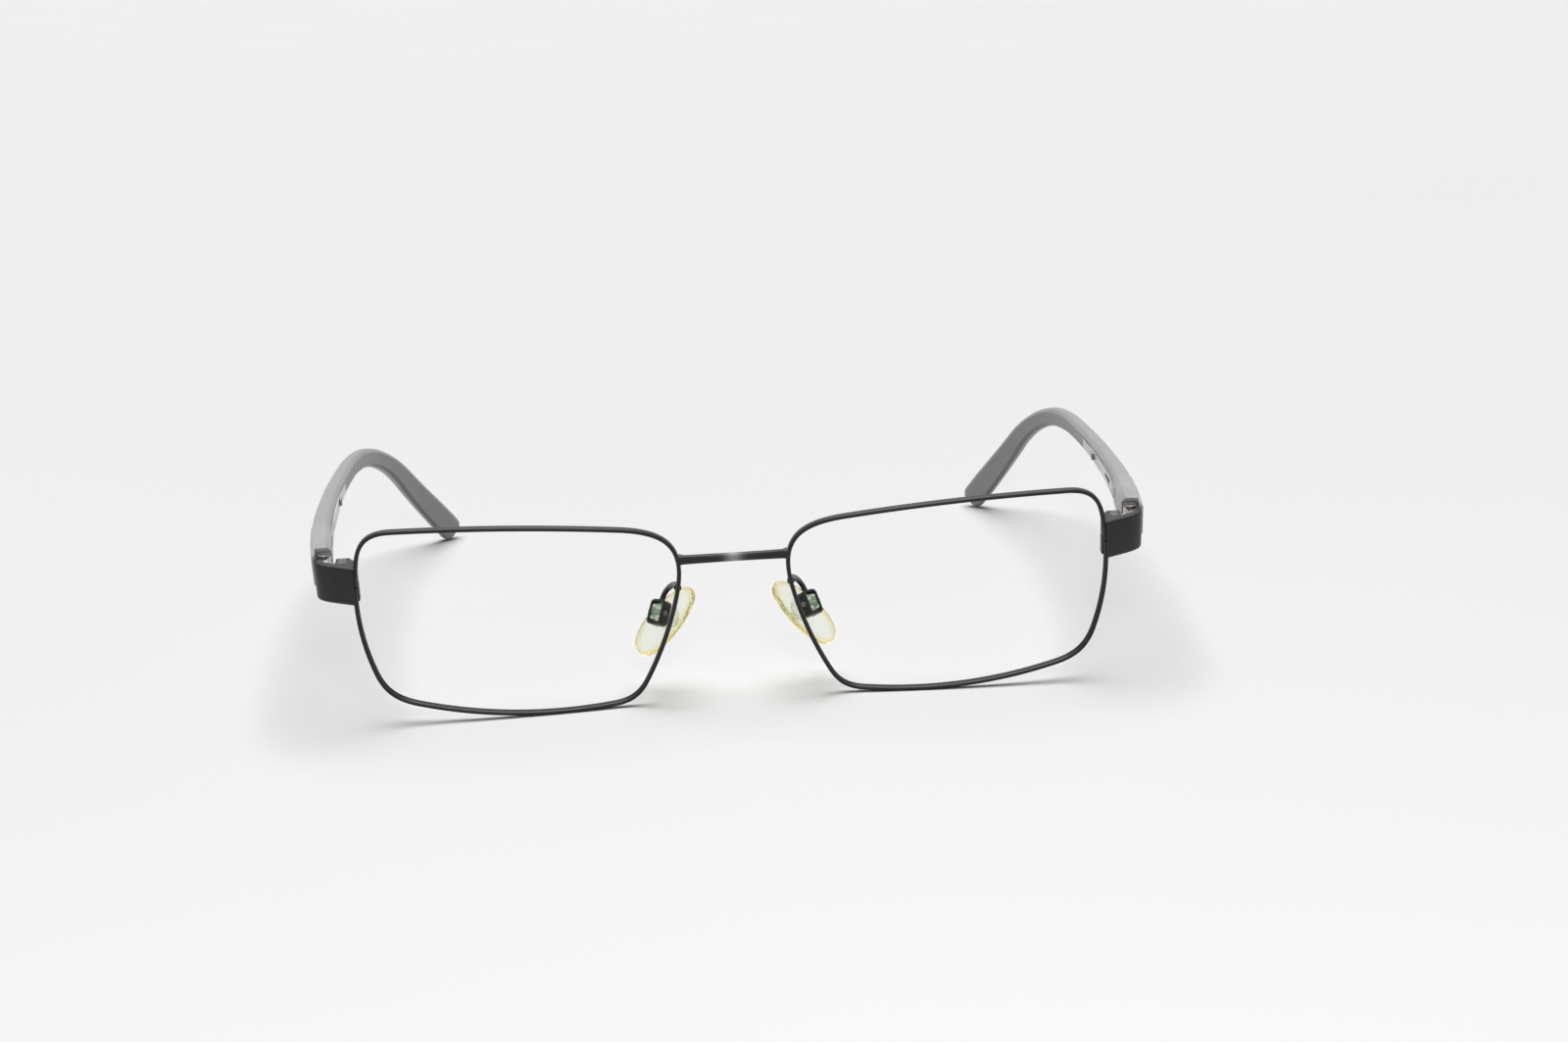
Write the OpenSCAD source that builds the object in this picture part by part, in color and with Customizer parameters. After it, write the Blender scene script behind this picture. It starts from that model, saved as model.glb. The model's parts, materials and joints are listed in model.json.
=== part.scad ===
// Full-rim metal eyeglass frame without lenses: two grooved wire rims, a bar bridge,
// wrap-round endpieces, spring hinges, metal-fronted temples in plastic sleeves and screw-on nose pads.
// +X is the wearer's left, +Y runs back along the temples and +Z is up.
// Every sub-part is drawn in the front's own frame, whose datum line passes through the eyes,
// and the whole frame is then stood on its rims and temple ends by stood().

/* [Eye rims] */
// Eye width at half height, along the centre line of the rim wire
lens_w = 52.7; // [46:0.1:58]
// Eye height at mid width, along the centre line of the rim wire
lens_h = 34.2; // [30:0.1:38]
// Gap between the two nasal edges at half height
nose_gap = 20.8; // [18:0.1:24]
// Depth of the eyes' half height below the datum line
eye_drop = 1.2; // [0:0.1:3]
// Rise of the top edge towards the temple, degrees
top_slope = 4.3; // [0:0.1:7]
// Rise of the bottom edge towards the temple, degrees
bottom_slope = 5.1; // [0:0.1:8]
// Lean of the nasal edge, degrees
nasal_lean = 18; // [12:0.5:26]
// Lean of the temple-side edge, degrees
temple_lean = 3.9; // [0:0.1:9]
// How far the top nasal corner's rounding runs along its two edges
reach_top_nasal = 11.1; // [6:0.1:13]
// How far the top temple corner's rounding runs
reach_top_temple = 5.2; // [3:0.1:8]
// How far the bottom temple corner's rounding runs
reach_bottom_temple = 5; // [3:0.1:9]
// How far the bottom nasal corner's rounding runs
reach_bottom_nasal = 3.8; // [3:0.1:9]
// Fullness of the corners: lower cuts across them, higher fills them out
corner_fullness = 0.73; // [0.55:0.01:0.85]
// Outward bow of the top edge
bow_top = 2.15; // [0.5:0.05:3]
// Outward bow of the temple-side edge
bow_temple = 2.65; // [0.5:0.05:3]
// Outward bow of the bottom edge
bow_bottom = 1.95; // [0.5:0.05:3]
// Outward bow of the nasal edge
bow_nasal = 1.9; // [0.5:0.05:3]
// Radius of the sphere that the rims are curved to
base_radius = 109; // [85:1:180]
// Face form angle of each eye, degrees (below zero, the nasal edge is set back)
face_form = -1.1; // [-2:0.1:4]

/* [Rim wire] */
// Rim wire thickness in the plane of the eye
rim_t = 0.75; // [0.6:0.05:1]
// Rim wire depth, front to back
rim_d = 1.4; // [1.2:0.05:2]
// Depth of the lens groove
groove_d = 0.3; // [0.15:0.05:0.4]
// Width of the lens groove at its mouth
groove_w = 0.7; // [0.4:0.05:0.9]
// Cut in the rim where the closing block opens it
rim_cut = 0.3; // [0.2:0.05:0.5]

/* [Bridge] */
// Height of the bridge's ends above the datum line
bridge_z = 7; // [5:0.1:9]
// Height of the bridge bar
bridge_h = 1.45; // [0.9:0.05:1.8]
// Depth of the bridge bar, front to back
bridge_d = 1.3; // [0.9:0.05:1.8]
// Rise of the bridge's middle over its ends
bridge_rise = 0.9; // [0:0.1:2.5]
// How far the bridge's middle stands forward of its ends
bridge_forward = 2; // [0:0.1:4]

/* [Endpieces] */
// How far each endpiece's side stands outside the rim's side
endpiece_reach = 6.64; // [6:0.02:9]
// Height of the endpiece plate
endpiece_h = 6.9; // [5.5:0.1:8]
// Height of the endpiece's middle above the datum line
endpiece_z = 6.5; // [5:0.1:8]
// Thickness of the endpiece plate
endpiece_t = 1.4; // [1:0.1:1.6]
// Sweep of the endpiece's face towards the temple, degrees
endpiece_sweep = 24; // [20:1:28]
// Outer radius of the endpiece's corner
endpiece_r = 2.4; // [1.8:0.1:2.6]

/* [Hinge] */
// Hinge pin axis, distance in from the endpiece's side
hinge_inset = 1.35; // [1.3:0.05:1.6]
// Hinge pin axis, distance behind the endpiece's outer corner
hinge_back = 4.7; // [4.6:0.1:5.5]
// Outer radius of the hinge barrels
barrel_r = 1.15; // [1:0.05:1.2]
// Radius of the hinge screw's shank
pin_r = 0.65; // [0.5:0.05:0.75]
// Height of one hinge barrel
barrel_h = 1.75; // [1.5:0.05:1.9]
// Play between two barrels
barrel_play = 0.05; // [0.03:0.01:0.1]
// Running clearance round the pin and the slider
run_gap = 0.05; // [0.03:0.01:0.08]
// Travel of the spring hinge
spring_travel = 1.2; // [0.8:0.1:1.6]

/* [Temples] */
// Slope of the temple below the front's normal, degrees
pantoscopic = 9.1; // [6:0.1:11]
// Outward splay of the temple at the hinge, degrees
splay = 9.1; // [6:0.1:12]
// Inward curve of the temple, degrees per 100 mm
temple_curve = 13.2; // [8:0.2:16]
// Length from the hinge pin to the start of the ear bend
length_to_bend = 87.6; // [75:0.1:95]
// Length of the ear bend along the temple
bend_length = 21.4; // [16:0.1:28]
// Drop of the ear bend, degrees
bend_drop = 44.5; // [35:0.5:50]
// Length of the temple end behind the bend
end_length = 21.2; // [16:0.1:28]
// Inward turn of the temple end, degrees
end_turn = 39.5; // [20:0.5:42]
// Length before and after the bend that shares in the inward turn
turn_lead = 9.2; // [6:0.1:12]
// Height of the temple's middle above the hinge's middle
temple_rise = 0.8; // [0:0.1:1]
// Temple thickness at the hinge
temple_w_front = 3.45; // [3.3:0.05:3.8]
// Temple thickness at the bend
temple_w_back = 3.1; // [3:0.05:3.6]
// Temple thickness near the end
temple_w_end = 2.8; // [2.6:0.05:3.4]
// Temple height at the hinge
temple_h_front = 6.2; // [5.8:0.1:7]
// Temple height in front of the bend
temple_h_back = 3.8; // [3.7:0.1:5]
// Height of the paddle at the temple's end
temple_h_end = 5.4; // [4.6:0.1:7]
// Length of that paddle
paddle_length = 7; // [5:0.5:10]
// Length of the rounding at its end
tip_round = 1.3; // [0.6:0.1:2]
// Bevel along the temple's edges
temple_bevel = 0.7; // [0.5:0.05:0.8]
// How far the temple's outer wall reaches forward of the hinge pin
wing_length = 2.3; // [2:0.1:2.4]
// Length of the metal front, from the hinge pin to the plastic sleeve
metal_length = 20; // [18:0.5:24]
// Length of the metal strip on the inner face, from the hinge pin
strip_length = 62; // [56:1:70]
// Start of the slot in the strip, behind the plastic sleeve's front end
window_lead = 6; // [4:0.5:10]
// Length of the slot in the strip
window_length = 9; // [5:0.5:12]
// Height of the slot in the strip
window_h = 0.9; // [0.6:0.1:1.2]
// Distance of the strip's screw from the strip's end
strip_screw_back = 12; // [8:0.5:16]
// Half height of that strip
strip_half_h = 1; // [0.8:0.05:1.1]
// Depth of the strip in the sleeve
strip_t = 0.7; // [0.5:0.05:0.8]
// Radius of the core wire in the sleeve
core_r = 0.7; // [0.5:0.05:0.75]
// Length of the core wire's end from the hinge pin
core_length = 118; // [100:1:120]

/* [Nose pads] */
// Half distance between the middles of the pads
pad_x = 12; // [11:0.1:13.5]
// Distance of the pads behind the datum plane
pad_y = 11; // [10:0.1:12]
// Depth of the pads' middle below the datum line
pad_drop = 7.3; // [6:0.1:8.5]
// Length of a pad
pad_l = 14.8; // [13:0.1:16]
// Width of a pad
pad_w = 7.1; // [7:0.1:9]
// Thickness of a pad
pad_t = 1.9; // [1.6:0.05:2.2]
// Flare of the pads in a front view, degrees
pad_flare = 47; // [38:1:50]
// Splay of the pads in a top view, degrees
pad_splay = 23; // [18:1:30]
// Rake of the pads in a side view, degrees
pad_rake = 20; // [14:1:26]
// Height of the pad box above the pad's middle, along the pad
box_rise = 0.9; // [0.6:0.1:1.6]
// Turn of the pad box against the pad's length, degrees
box_turn = 38; // [30:1:44]
// Length of the pad box, along the pad
box_l = 4.4; // [4.2:0.1:5.2]
// Width of the pad box
box_w = 3.2; // [3:0.1:3.8]
// Depth of the pad box
box_d = 2; // [1.6:0.1:2.5]
// Wall of the pad box
box_wall = 0.45; // [0.35:0.05:0.55]
// Radius of the pad screw's shank
pad_pin_r = 0.5; // [0.4:0.05:0.55]
// Radius of the pad arm's wire
arm_r = 0.45; // [0.35:0.05:0.5]
// Height of the arm's root on the rim above the datum line
arm_z = 1.7; // [0:0.1:3]

/* [Hidden] */

$fn = 48;
tiny = 0.01;
solder_gap = 0.03;
seam_gap = 0.25;
// How far a cutting tool reaches past a face that it goes through
cut_extra = 1;

// Points per rounded corner and per edge of the eye outline
corner_steps = 7;
edge_steps = 10;
cut_steps = 5;

metal_black = [0.16, 0.16, 0.17];
metal_silver = [0.72, 0.72, 0.74];
plastic_grey = [0.45, 0.45, 0.46];
clear_pad = [0.93, 0.92, 0.8, 0.6];

// Helpers

function unit(v) = v / norm(v);
function turned(v) = [-v.y, v.x];
function rotated(v, a) = [v.x * cos(a) - v.y * sin(a), v.x * sin(a) + v.y * cos(a)];
function clamp01(t) = min(1, max(0, t));
function meet(p, u, q, v) = p + u * (cross(q - p, v) / cross(u, v));
// Point of a smooth curve from a to b that leaves towards p and arrives from q
function bent_line(a, p, q, b, t) =
    a * pow(1 - t, 3) + p * 3 * t * pow(1 - t, 2) + q * 3 * t * t * (1 - t) + b * pow(t, 3);

// Closed solid through a list of rings that all have the same number of points
module loft(rings) {
    count = len(rings[0]);
    last = len(rings) - 1;
    points = [for (ring = rings) for (p = ring) p];
    sides = [
        for (i = [0 : last - 1]) for (j = [0 : count - 1])
            let (k = (j + 1) % count)
            each [
                [i * count + j, i * count + k, (i + 1) * count + k],
                [i * count + j, (i + 1) * count + k, (i + 1) * count + j]
            ]
    ];
    start_cap = [[for (j = [count - 1 : -1 : 0]) j]];
    end_cap = [[for (j = [0 : count - 1]) last * count + j]];
    polyhedron(points, concat(sides, start_cap, end_cap), convexity = 8);
}

// Draws children on the wearer's left (side = 1) or mirrors them to the right (side = -1)
module on_side(side) {
    if (side > 0) children();
    else mirror([1, 0, 0]) children();
}

// Eye outline, wearer's left, in the X-Z plane, run from the closing cut down and round to it again

eye_mid_z = -eye_drop;
eye_cx = nose_gap / 2 + lens_w / 2;
eye_mid = [eye_cx, eye_mid_z];
top_dir = rotated([1, 0], top_slope);
bottom_dir = rotated([1, 0], bottom_slope);
nasal_dir = rotated([0, 1], nasal_lean);
temple_dir = rotated([0, 1], -temple_lean);
top_mid = eye_mid + [0, lens_h / 2 - bow_top];
bottom_mid = eye_mid - [0, lens_h / 2 - bow_bottom];
nasal_mid = eye_mid - [lens_w / 2 - bow_nasal, 0];
temple_mid = eye_mid + [lens_w / 2 - bow_temple, 0];

// Corners of the straight outline, in the order bottom temple, bottom nasal, top nasal, top temple
eye_corners = [
    meet(temple_mid, temple_dir, bottom_mid, bottom_dir),
    meet(bottom_mid, bottom_dir, nasal_mid, nasal_dir),
    meet(nasal_mid, nasal_dir, top_mid, top_dir),
    meet(top_mid, top_dir, temple_mid, temple_dir)
];
eye_reaches = [reach_bottom_temple, reach_bottom_nasal, reach_top_nasal, reach_top_temple];
eye_bows = [bow_bottom, bow_nasal, bow_top, bow_temple];

// Edge i runs from corner i to the next one, bowed outward; t goes from 0 to 1 along it
function eye_corner(i) = eye_corners[i % 4];
function edge_length(i) = norm(eye_corner(i + 1) - eye_corner(i));
function edge_dir(i) = unit(eye_corner(i + 1) - eye_corner(i));
function edge_point(i, t) =
    eye_corner(i) + (eye_corner(i + 1) - eye_corner(i)) * t
        + turned(edge_dir(i)) * eye_bows[i % 4] * 4 * t * (1 - t);
function edge_heading(i, t) =
    unit(edge_dir(i) * edge_length(i) + turned(edge_dir(i)) * eye_bows[i % 4] * 4 * (1 - 2 * t));
function edge_from(i) = eye_reaches[i % 4] / edge_length(i);
function edge_to(i) = 1 - eye_reaches[(i + 1) % 4] / edge_length(i);
function edge_run(i) = [
    for (k = [1 : edge_steps - 1]) edge_point(i, edge_from(i) + (edge_to(i) - edge_from(i)) * k / edge_steps)
];

// Rounding of corner i, from the edge before it to the edge after it
function corner_curve(i) =
    let (
        a = edge_point(i + 3, edge_to(i + 3)),
        b = edge_point(i, edge_from(i)),
        c = meet(a, edge_heading(i + 3, edge_to(i + 3)), b, edge_heading(i, edge_from(i))),
        p = a + (c - a) * corner_fullness,
        q = b + (c - b) * corner_fullness
    )
    [for (k = [0 : corner_steps]) let (t = k / corner_steps) bent_line(a, p, q, b, t)];

// Place along edge i where it crosses a height
function edge_at(i, z) =
    let (fall = eye_corner(i + 1).y - eye_corner(i).y, t = (z - eye_corner(i).y) / fall)
    t + (z - edge_point(i, t).y) / fall;

// The closing cut lies at the endpiece's middle height
cut_t = edge_at(3, endpiece_z);
cut_half = rim_cut / 2 / edge_length(3);
eye_path = concat(
    [
        for (k = [0 : cut_steps - 1])
            edge_point(3, cut_t + cut_half + (edge_to(3) - cut_t - cut_half) * k / cut_steps)
    ],
    corner_curve(0), edge_run(0),
    corner_curve(1), edge_run(1),
    corner_curve(2), edge_run(2),
    corner_curve(3),
    [
        for (k = [1 : cut_steps])
            edge_point(3, edge_from(3) + (cut_t - cut_half - edge_from(3)) * k / cut_steps)
    ]
);
function path_dir(path, i) = unit(path[min(i + 1, len(path) - 1)] - path[max(i - 1, 0)]);

// Distance behind the datum plane of the eye's surface at a point of the X-Z plane
function sag(p) =
    ((p.x - eye_cx) * (p.x - eye_cx) + (p.y - eye_mid_z) * (p.y - eye_mid_z)) / (2 * base_radius)
        + (p.x - eye_cx) * tan(face_form);

// Rim wire's section: outward in the eye's plane, then back; the groove faces the lens
rim_flat = 0.28;
rim_shoulder = 0.2;
rim_section = [
    [rim_t / 2, -rim_d * rim_flat],
    [rim_t / 2, rim_d * rim_flat],
    [rim_t * rim_shoulder, rim_d / 2],
    [-rim_t / 2, rim_d / 2],
    [-rim_t / 2, groove_w / 2],
    [-rim_t / 2 + groove_d, 0],
    [-rim_t / 2, -groove_w / 2],
    [-rim_t / 2, -rim_d / 2],
    [rim_t * rim_shoulder, -rim_d / 2]
];
rim_rings = [
    for (i = [0 : len(eye_path) - 1])
        let (c = eye_path[i], n = turned(path_dir(eye_path, i)))
        [for (q = rim_section) let (p = c + n * q.x) [p.x, sag(c) + q.y, p.y]]
];

module rim(side) {
    color(metal_black) on_side(side) stood() loft(rim_rings);
}

// Nasal side of the rim's centre line at a height
function nasal_x(z) = min([
    for (i = [1 : len(eye_path) - 1])
        let (a = eye_path[i - 1], b = eye_path[i])
        if ((a.y - z) * (b.y - z) <= 0 && a.y != b.y) a.x + (b.x - a.x) * (z - a.y) / (b.y - a.y)
]);

// Bridge: an arched bar soldered between the rims

bridge_root_h = bridge_h * 0.6;
bridge_half = min([for (k = [-1 : 0.5 : 1]) nasal_x(bridge_z + k * bridge_root_h)]) - rim_t / 2 - solder_gap;
bridge_swell = 0.18;
bridge_steps = 24;
bridge_sides = 16;
function bridge_ring(t) =
    let (
        arch = 1 - t * t,
        swell = 1 + bridge_swell * t * t,
        y = sag([nasal_x(bridge_z), bridge_z]) - bridge_forward * arch,
        z = bridge_z + bridge_rise * arch
    )
    [
        for (k = [0 : bridge_sides - 1])
            let (a = 360 * k / bridge_sides)
            [
                t * bridge_half,
                y + bridge_d / 2 * swell * cos(a),
                z - bridge_h / 2 * swell * sin(a)
            ]
    ];

module bridge() {
    color(metal_black) stood()
        loft([for (k = [0 : bridge_steps]) bridge_ring(2 * k / bridge_steps - 1)]);
}

// Endpiece: a plate bent round the front's corner

endpiece_set_back = 0.1;
// How far the plate runs in over the rim before the rim's outline trims it
endpiece_root = 0.5;
rim_side_x = edge_point(3, cut_t).x + rim_t / 2 + solder_gap;
rim_side_y = sag(edge_point(3, cut_t));
front_half_w = rim_side_x + endpiece_reach;
endpiece_front_y = rim_side_y - rim_d / 2 + endpiece_set_back;
endpiece_corner = [front_half_w, endpiece_front_y + (front_half_w - rim_side_x) * tan(endpiece_sweep)];
hinge_axis = [front_half_w - hinge_inset, endpiece_corner.y + hinge_back];
wing_outer_u = temple_w_front - hinge_inset;
endpiece_back_y = hinge_axis.y - wing_length * cos(splay) - wing_outer_u * sin(splay) - seam_gap;
bend_turn = 90 - endpiece_sweep;

// Arc of radius r that rounds a corner of the endpiece's plan, from its face round to its side
function bent_corner(corner, r, steps) =
    let (
        reach = r * tan(bend_turn / 2),
        centre = corner - [cos(endpiece_sweep), sin(endpiece_sweep)] * reach
            + [-sin(endpiece_sweep), cos(endpiece_sweep)] * r
    )
    [for (k = [0 : steps]) let (a = endpiece_sweep - 90 + bend_turn * k / steps) centre + [cos(a), sin(a)] * r];
function reversed(list) = [for (k = [len(list) - 1 : -1 : 0]) list[k]];
endpiece_inner_corner = endpiece_corner + [-1, tan(bend_turn / 2)] * endpiece_t;
endpiece_root_step = endpiece_root * tan(endpiece_sweep);
endpiece_plan = concat(
    [[rim_side_x - endpiece_root, endpiece_front_y - endpiece_root_step]],
    bent_corner(endpiece_corner, endpiece_r, 12),
    [[front_half_w, endpiece_back_y], [front_half_w - endpiece_t, endpiece_back_y]],
    reversed(bent_corner(endpiece_inner_corner, endpiece_r - endpiece_t, 8)),
    [[rim_side_x - endpiece_root, endpiece_front_y + endpiece_t / cos(endpiece_sweep) - endpiece_root_step]]
);
// Outline of the rim's outer side, which the endpiece's end is shaped to
rim_outline = [
    for (i = [0 : len(eye_path) - 1])
        eye_path[i] + turned(path_dir(eye_path, i)) * (rim_t / 2 + solder_gap)
];

module endpiece(side) {
    color(metal_black) on_side(side) stood() difference() {
        translate([0, 0, endpiece_z - endpiece_h / 2]) linear_extrude(endpiece_h) polygon(endpiece_plan);
        translate([0, hinge_axis.y, 0]) rotate([90, 0, 0]) linear_extrude(2 * hinge_axis.y) polygon(rim_outline);
    }
}

// Closing block: two halves behind the endpiece, soldered to the rim's cut ends, and the screw that joins them

block_reach = 2.9;
block_depth = 2.5;
block_root = 1.6;
block_wall = 0.25;
screw_head_h = 0.45;
closing_pin_r = 0.5;
closing_head_r = 0.85;
block_h = endpiece_h - 0.5;
closing_screw_short = 0.2;
// Slot of a screw's head: its width over the head's radius and its depth over the head's height
slot_width_share = 0.28;
slot_depth_share = 0.5;
function plate_back(x) =
    endpiece_front_y + endpiece_t / cos(endpiece_sweep) + (x - rim_side_x) * tan(endpiece_sweep) + solder_gap;
rim_back_y = sag([edge_point(3, cut_t).x, endpiece_z + block_h / 2]) + rim_d / 2 + solder_gap;
block_out_x = rim_side_x + block_reach;
block_back_y = plate_back(block_out_x) + block_depth;
closing_axis = [block_out_x - closing_head_r - block_wall, block_back_y - closing_head_r - block_wall];
block_plan = [
    [rim_side_x - rim_t, rim_back_y],
    [rim_side_x, max(plate_back(rim_side_x), rim_back_y)],
    [block_out_x, plate_back(block_out_x)],
    [block_out_x, block_back_y],
    [closing_axis.x - closing_head_r - block_wall, block_back_y],
    [rim_side_x - rim_t, rim_back_y + block_root]
];

module closing_axis_at(z) {
    translate([closing_axis.x, closing_axis.y, z]) children();
}

module closing_block_upper(side) {
    color(metal_black) on_side(side) stood() difference() {
        translate([0, 0, endpiece_z + rim_cut / 2])
            linear_extrude(block_h / 2 - rim_cut / 2) polygon(block_plan);
        closing_axis_at(endpiece_z) cylinder(r = closing_pin_r + run_gap, h = block_h);
        closing_axis_at(endpiece_z + block_h / 2 - screw_head_h)
            cylinder(r = closing_head_r + run_gap, h = block_h);
    }
}

module closing_block_lower(side) {
    color(metal_black) on_side(side) stood() difference() {
        translate([0, 0, endpiece_z - block_h / 2])
            linear_extrude(block_h / 2 - rim_cut / 2) polygon(block_plan);
        closing_axis_at(endpiece_z - block_h) cylinder(r = closing_pin_r + tiny, h = 2 * block_h);
    }
}

// Slotted machine screw with its head's top at z = 0 and its shank below
module slotted_screw(head_r, head_h, shank_r, length) {
    difference() {
        translate([0, 0, -head_h]) cylinder(r = head_r, h = head_h);
        translate([-head_r - cut_extra, -head_r * slot_width_share / 2, -head_h * slot_depth_share])
            cube([2 * head_r + 2 * cut_extra, head_r * slot_width_share, head_h]);
    }
    translate([0, 0, -length]) cylinder(r = shank_r, h = length - head_h + tiny);
}

module closing_screw(side) {
    color(metal_silver) on_side(side) stood()
        closing_axis_at(endpiece_z + block_h / 2)
            slotted_screw(closing_head_r, screw_head_h - run_gap, closing_pin_r, block_h - closing_screw_short);
}

// Hinge: two barrels on the front leaf, one on the sprung slider, and the screw through them

stack_h = 3 * barrel_h + 2 * barrel_play;
bore_r = pin_r + run_gap;
leaf_web = 1.2;
leaf_chamfer = 0.6;
leaf_overlap = 0.4;
leaf_foot = 0.5;
leaf_gap = 0.2;
leaf_in_x = block_out_x + leaf_gap;
leaf_out_x = front_half_w - endpiece_t - solder_gap;
web_plan = [
    [hinge_axis.x - leaf_web / 2 - leaf_foot, endpiece_back_y - leaf_overlap],
    [leaf_out_x, endpiece_back_y - leaf_overlap],
    [leaf_out_x, endpiece_back_y + solder_gap],
    [hinge_axis.x + leaf_web / 2, endpiece_back_y + solder_gap],
    [hinge_axis.x + leaf_web / 2, hinge_axis.y],
    [hinge_axis.x - leaf_web / 2, hinge_axis.y],
    [hinge_axis.x - leaf_web / 2 - leaf_foot, endpiece_back_y]
];

module hinge_axis_at(z) {
    translate([hinge_axis.x, hinge_axis.y, endpiece_z + z]) children();
}

module leaf_barrel(z) {
    difference() {
        union() {
            hinge_axis_at(z) cylinder(r = barrel_r, h = barrel_h);
            translate([0, 0, endpiece_z + z]) linear_extrude(barrel_h) polygon(web_plan);
        }
        hinge_axis_at(z - barrel_h) cylinder(r = bore_r, h = 3 * barrel_h);
    }
}

leaf_plan = [
    [leaf_in_x, plate_back(leaf_in_x)],
    [leaf_out_x - leaf_chamfer, plate_back(leaf_out_x - leaf_chamfer)],
    [leaf_out_x, plate_back(leaf_out_x) + leaf_chamfer],
    [leaf_out_x, endpiece_back_y],
    [leaf_in_x, endpiece_back_y]
];

module hinge_leaf(side) {
    color(metal_black) on_side(side) stood() {
        translate([0, 0, endpiece_z - stack_h / 2]) linear_extrude(stack_h) polygon(leaf_plan);
        leaf_barrel(-stack_h / 2);
        leaf_barrel(stack_h / 2 - barrel_h);
    }
}

hinge_head_inset = 0.1;
hinge_screw_proud = 0.1;
module hinge_screw(side) {
    color(metal_silver) on_side(side) stood()
        hinge_axis_at(stack_h / 2 + screw_head_h)
            slotted_screw(barrel_r - hinge_head_inset, screw_head_h, pin_r,
                stack_h + screw_head_h + hinge_screw_proud);
}

// Temple: its middle line is followed by turning a heading step by step from the hinge pin

temple_length = length_to_bend + bend_length + end_length;
temple_mid_u = temple_w_front / 2 - hinge_inset;
path_step = 0.5;
path_back = 3;

function heading_out(s) =
    splay - temple_curve * s / 100
        - end_turn * clamp01((s - length_to_bend + turn_lead) / (bend_length + 2 * turn_lead));
function heading_down(s) = pantoscopic + bend_drop * clamp01((s - length_to_bend) / bend_length);
function along(s) = [
    sin(heading_out(s)) * cos(heading_down(s)),
    cos(heading_out(s)) * cos(heading_down(s)),
    -sin(heading_down(s))
];
function outward(s) = [cos(heading_out(s)), -sin(heading_out(s)), 0];
function upward(s) = [
    sin(heading_out(s)) * sin(heading_down(s)),
    cos(heading_out(s)) * sin(heading_down(s)),
    cos(heading_down(s))
];
hinge_point = [hinge_axis.x, hinge_axis.y, endpiece_z];

// Middle line of the temple, every path_step from path_back in front of the pin
temple_points = [
    for (
        i = 0, p = hinge_point + outward(0) * temple_mid_u + upward(0) * temple_rise - along(0) * path_back;
        i * path_step <= temple_length + path_back;
        p = p + along((i + 0.5) * path_step - path_back) * path_step, i = i + 1
    ) p
];
function temple_point(s) =
    let (
        t = (s + path_back) / path_step,
        i = min(max(0, floor(t)), len(temple_points) - 2)
    )
    temple_points[i] + (temple_points[i + 1] - temple_points[i]) * (t - i);
function temple_at(s, u, v) = temple_point(s) + outward(s) * u + upward(s) * v;

// Thickness and height of the temple along its length
paddle_s = temple_length - paddle_length;
round_s = temple_length - tip_round;
tip_share = 0.72;
metal_taper = 0.4;
half_way = 0.5;
half_way_extra = 0.5;
waist_from = 0.8;
waist_to = 0.6;
waist_extra = 0.2;
function temple_w(s) = lookup(s, [
    [0, temple_w_front], [length_to_bend, temple_w_back],
    [paddle_s, temple_w_end], [round_s, temple_w_end], [temple_length, temple_w_end * tip_share]
]);
function temple_h(s) = lookup(s, [
    [0, temple_h_front], [metal_length, temple_h_front - metal_taper],
    [length_to_bend * half_way, temple_h_back + half_way_extra],
    [length_to_bend * waist_from, temple_h_back],
    [length_to_bend + bend_length * waist_to, temple_h_back + waist_extra],
    [paddle_s, temple_h_end], [round_s, temple_h_end], [temple_length, temple_h_end * tip_share]
]);

// Ring of the temple's eight-sided section; channel is the depth of the slot in its inner face
function temple_ring(s, channel) =
    let (a = temple_w(s) / 2, b = temple_h(s) / 2, c = min(temple_bevel, a / 2), h = strip_half_h)
    [
        for (q = [
            [a, -b + c], [a, b - c], [a - c, b], [-a + c, b], [-a, b - c],
            [-a, h], [-a + channel, h], [-a + channel, -h], [-a, -h],
            [-a, -b + c], [-a + c, -b], [a - c, -b]
        ]) temple_at(s, q.x, q.y)
    ];
function plain_temple_ring(s) =
    let (a = temple_w(s) / 2, b = temple_h(s) / 2, c = temple_bevel)
    [
        for (q = [
            [a, -b + c], [a, b - c], [a - c, b], [-a + c, b],
            [-a, b - c], [-a, -b + c], [-a + c, -b], [a - c, -b]
        ]) temple_at(s, q.x, q.y)
    ];

// Places children at the hinge pin with Y along the temple and X outward
module at_temple() {
    translate(hinge_point) rotate([0, 0, -splay]) rotate([-pantoscopic, 0, 0]) children();
}
module turned_along() {
    rotate([-90, 0, 0]) children();
}

slider_u = 0.25;
tongue_r = barrel_h / 2 - 0.25;
rod_r = 0.4;
bush_r = tongue_r + run_gap + 0.2;
bush_front = 1.75;
bush_step = 6.2;
bush_back = 7;
// Length that the spring is left at full travel
spring_room = 4.4;
nut_t = 0.9;
nut_front = bush_back + spring_room + spring_travel;
nut_back = nut_front + nut_t;
rod_proud = 0.5;
bore_spare = 1.1;
spring_bore_end = nut_back + rod_proud + bore_spare;
tongue_front = 0.3;
tongue_back = bush_step - 0.5;
rod_overlap = 0.1;
nut_gap = 0.1;
block_front = 1.55;
barrel_clear = 0.25;

module on_slider_axis(s) {
    at_temple() translate([slider_u, s, 0]) turned_along() children();
}

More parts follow.
